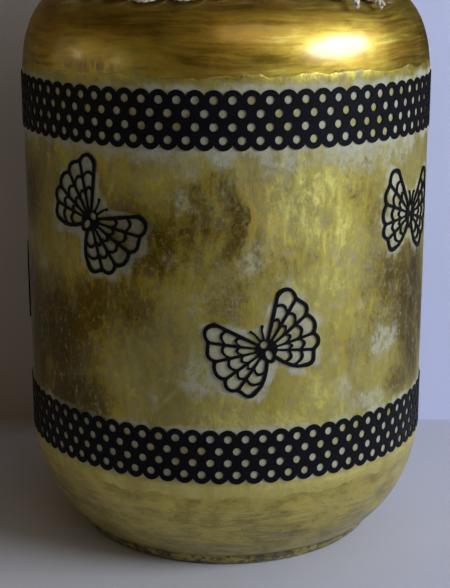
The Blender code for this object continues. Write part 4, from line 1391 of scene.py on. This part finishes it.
def build_wick():
    wax_top = WAX_Z + WAX_H
    tip = wax_top + 7.0
    spine = [(0, 0, WAX_Z), (0, 0, WAX_Z + 6), (0, 0, wax_top), (0.2, 0, wax_top + 2.5)]
    spine += [(0.9, 0, tip - 2.0), (1.9, 0, tip)]
    points = smooth_path([Vector(p) * MM for p in spine], 0.25 * MM)
    tubes = Tubes()
    tubes.add_rope(points, 0.88 * MM, 5.0 * MM, sides=10)
    wick = tubes.build("braided_wick", MATERIALS["wick"])
    stand_in_for(wick, "wick", "candle")


# ---------------------------------------------------------------- build everything

MATERIALS = {
    "black": black_sticker(),
    "steel": steel_wire(),
    "lace": cotton("cotton_lace", (0.80, 0.75, 0.63), (0.56, 0.49, 0.36), 1500.0, 0.8),
    "cord": cotton("cotton_cord", (0.74, 0.67, 0.53), (0.46, 0.38, 0.25), 900.0, 0.4),
    "wick": cotton("wick_cotton", (0.82, 0.79, 0.70), (0.58, 0.52, 0.42), 1400.0, 0.6),
}
build_jar()
build_tissue()
for band, (height, phase, *_) in BANDS.items():
    build_band(band, height, phase)
sticker_loops = butterfly_loops()
for name, spot in BUTTERFLIES.items():
    build_butterfly(name, *spot, sticker_loops)
build_neck_wire()
build_bail()
build_lace()
build_cord()
build_bow()
build_cup()
build_wax()
build_wick_foot()
build_wick()


# ---------------------------------------------------------------- stage, light and camera

def plain_surface(name, colour, left, one_sided=False):
    """Matt paint that changes from one colour at the left to another at the right; the left colour is
    painted light and shade for the stage's left side.
    """
    n = Nodes(name)
    tooth = n.noise(n.position(), 30.0, 4.0, 0.6)
    across = n.node("SeparateXYZ", {0: n.node("TexCoord").outputs["Object"]}).outputs["X"]
    colour = n.mix(n.ramp(across, -0.10, 0.06), left, colour)
    tone = n.mix(n.times(tooth, 0.06), colour, (0.0, 0.0, 0.0))
    shader = n.surface(Base_Color=tone, Roughness=0.75, Specular_IOR_Level=0.25,
                       Normal=n.bump(n.noise(n.position(), 900.0, 3.0), 0.08, 0.0005))
    if one_sided:
        clear = n.node("BsdfTransparent").outputs[0]
        shader = n.blend(n.node("NewGeometry").outputs["Backfacing"], shader, clear)
    return n.done(shader)


def plane(name, corners, material):
    made = make_object(name, corners, [(0, 1, 2, 3)], [material], sharp=None, recalc=False)
    return made


WALL_Y = 0.064

# The floor is a little lighter at the left: painted light
plane("floor", [(-3, -3, 0), (3, -3, 0), (3, 3, 0), (-3, 3, 0)],
      plain_surface("floor_paint", (0.58, 0.57, 0.63), (0.62, 0.60, 0.62)))
# The backdrop is darker and warmer at the left: painted shade
backdrop = plane("backdrop", [(-3, WALL_Y, 0), (3, WALL_Y, 0), (3, WALL_Y, 2), (-3, WALL_Y, 2)],
                 plain_surface("backdrop_paint", (0.66, 0.69, 0.93), (0.57, 0.50, 0.39), one_sided=True))
backdrop.visible_shadow = False
backdrop.visible_glossy = False


def area_light(name, direction, distance, width, height, power, colour):
    """An elliptical light, aimed at the middle of the jar from a direction and a distance."""
    data = bpy.data.lights.new(name, "AREA")
    data.shape = "ELLIPSE"
    data.size, data.size_y = width, height
    data.energy, data.color = power, colour
    lamp = add_object(name, data)
    away = Vector(direction).normalized()
    lamp.location = Vector((0, 0, 0.085)) + away * distance
    lamp.rotation_mode = "QUATERNION"
    lamp.rotation_quaternion = away.to_track_quat("Z", "Y")
    return lamp


area_light("window", (0.840, -0.392, 0.375), 0.75, 0.52, 0.21, 5.4, (0.80, 0.88, 1.0))
side = area_light("side", (-0.957, -0.221, 0.190), 0.9, 1.1, 0.40, 0.42, (1.0, 0.90, 0.50))
side.visible_diffuse = False
area_light("side_lamp", (-0.982, -0.042, 0.190), 0.9, 0.06, 0.06, 0.06, (1.0, 0.95, 0.65))
area_light("far_lamp", (-0.850, -0.488, 0.203), 0.9, 0.06, 0.06, 0.05, (1.0, 0.92, 0.55))
room = area_light("room", (0.24, -0.70, 0.68), 1.2, 0.9, 0.5, 1.5, (1.0, 0.72, 0.42))
room.visible_diffuse = False
fill = area_light("fill", (0.38, -0.80, 0.46), 1.2, 0.9, 0.9, 1.2, (0.88, 0.94, 1.0))
fill.visible_glossy = False

world = bpy.data.worlds.new("room")
bpy.context.scene.world = world
world.use_nodes = True
world.node_tree.nodes["Background"].inputs["Color"].default_value = (1.0, 0.68, 0.32, 1.0)
world.node_tree.nodes["Background"].inputs["Strength"].default_value = 0.055

bpy.context.scene.view_settings.view_transform = "Standard"

# The camera's place in metres, how far it looks down in degrees, and its lens in millimetres
CAMERA_SPOT = (-0.00025, -0.3375, 0.1471)
CAMERA_DIP = 14.91
CAMERA_LENS = 84.196

camera_data = bpy.data.cameras.new("camera")
camera_data.sensor_width = 36.0
camera_data.lens = CAMERA_LENS
camera_data.clip_start = 0.01
camera = add_object("camera", camera_data)
camera.location = CAMERA_SPOT
camera.rotation_euler = (math.radians(90 - CAMERA_DIP), 0.0, 0.0)
bpy.context.scene.camera = camera
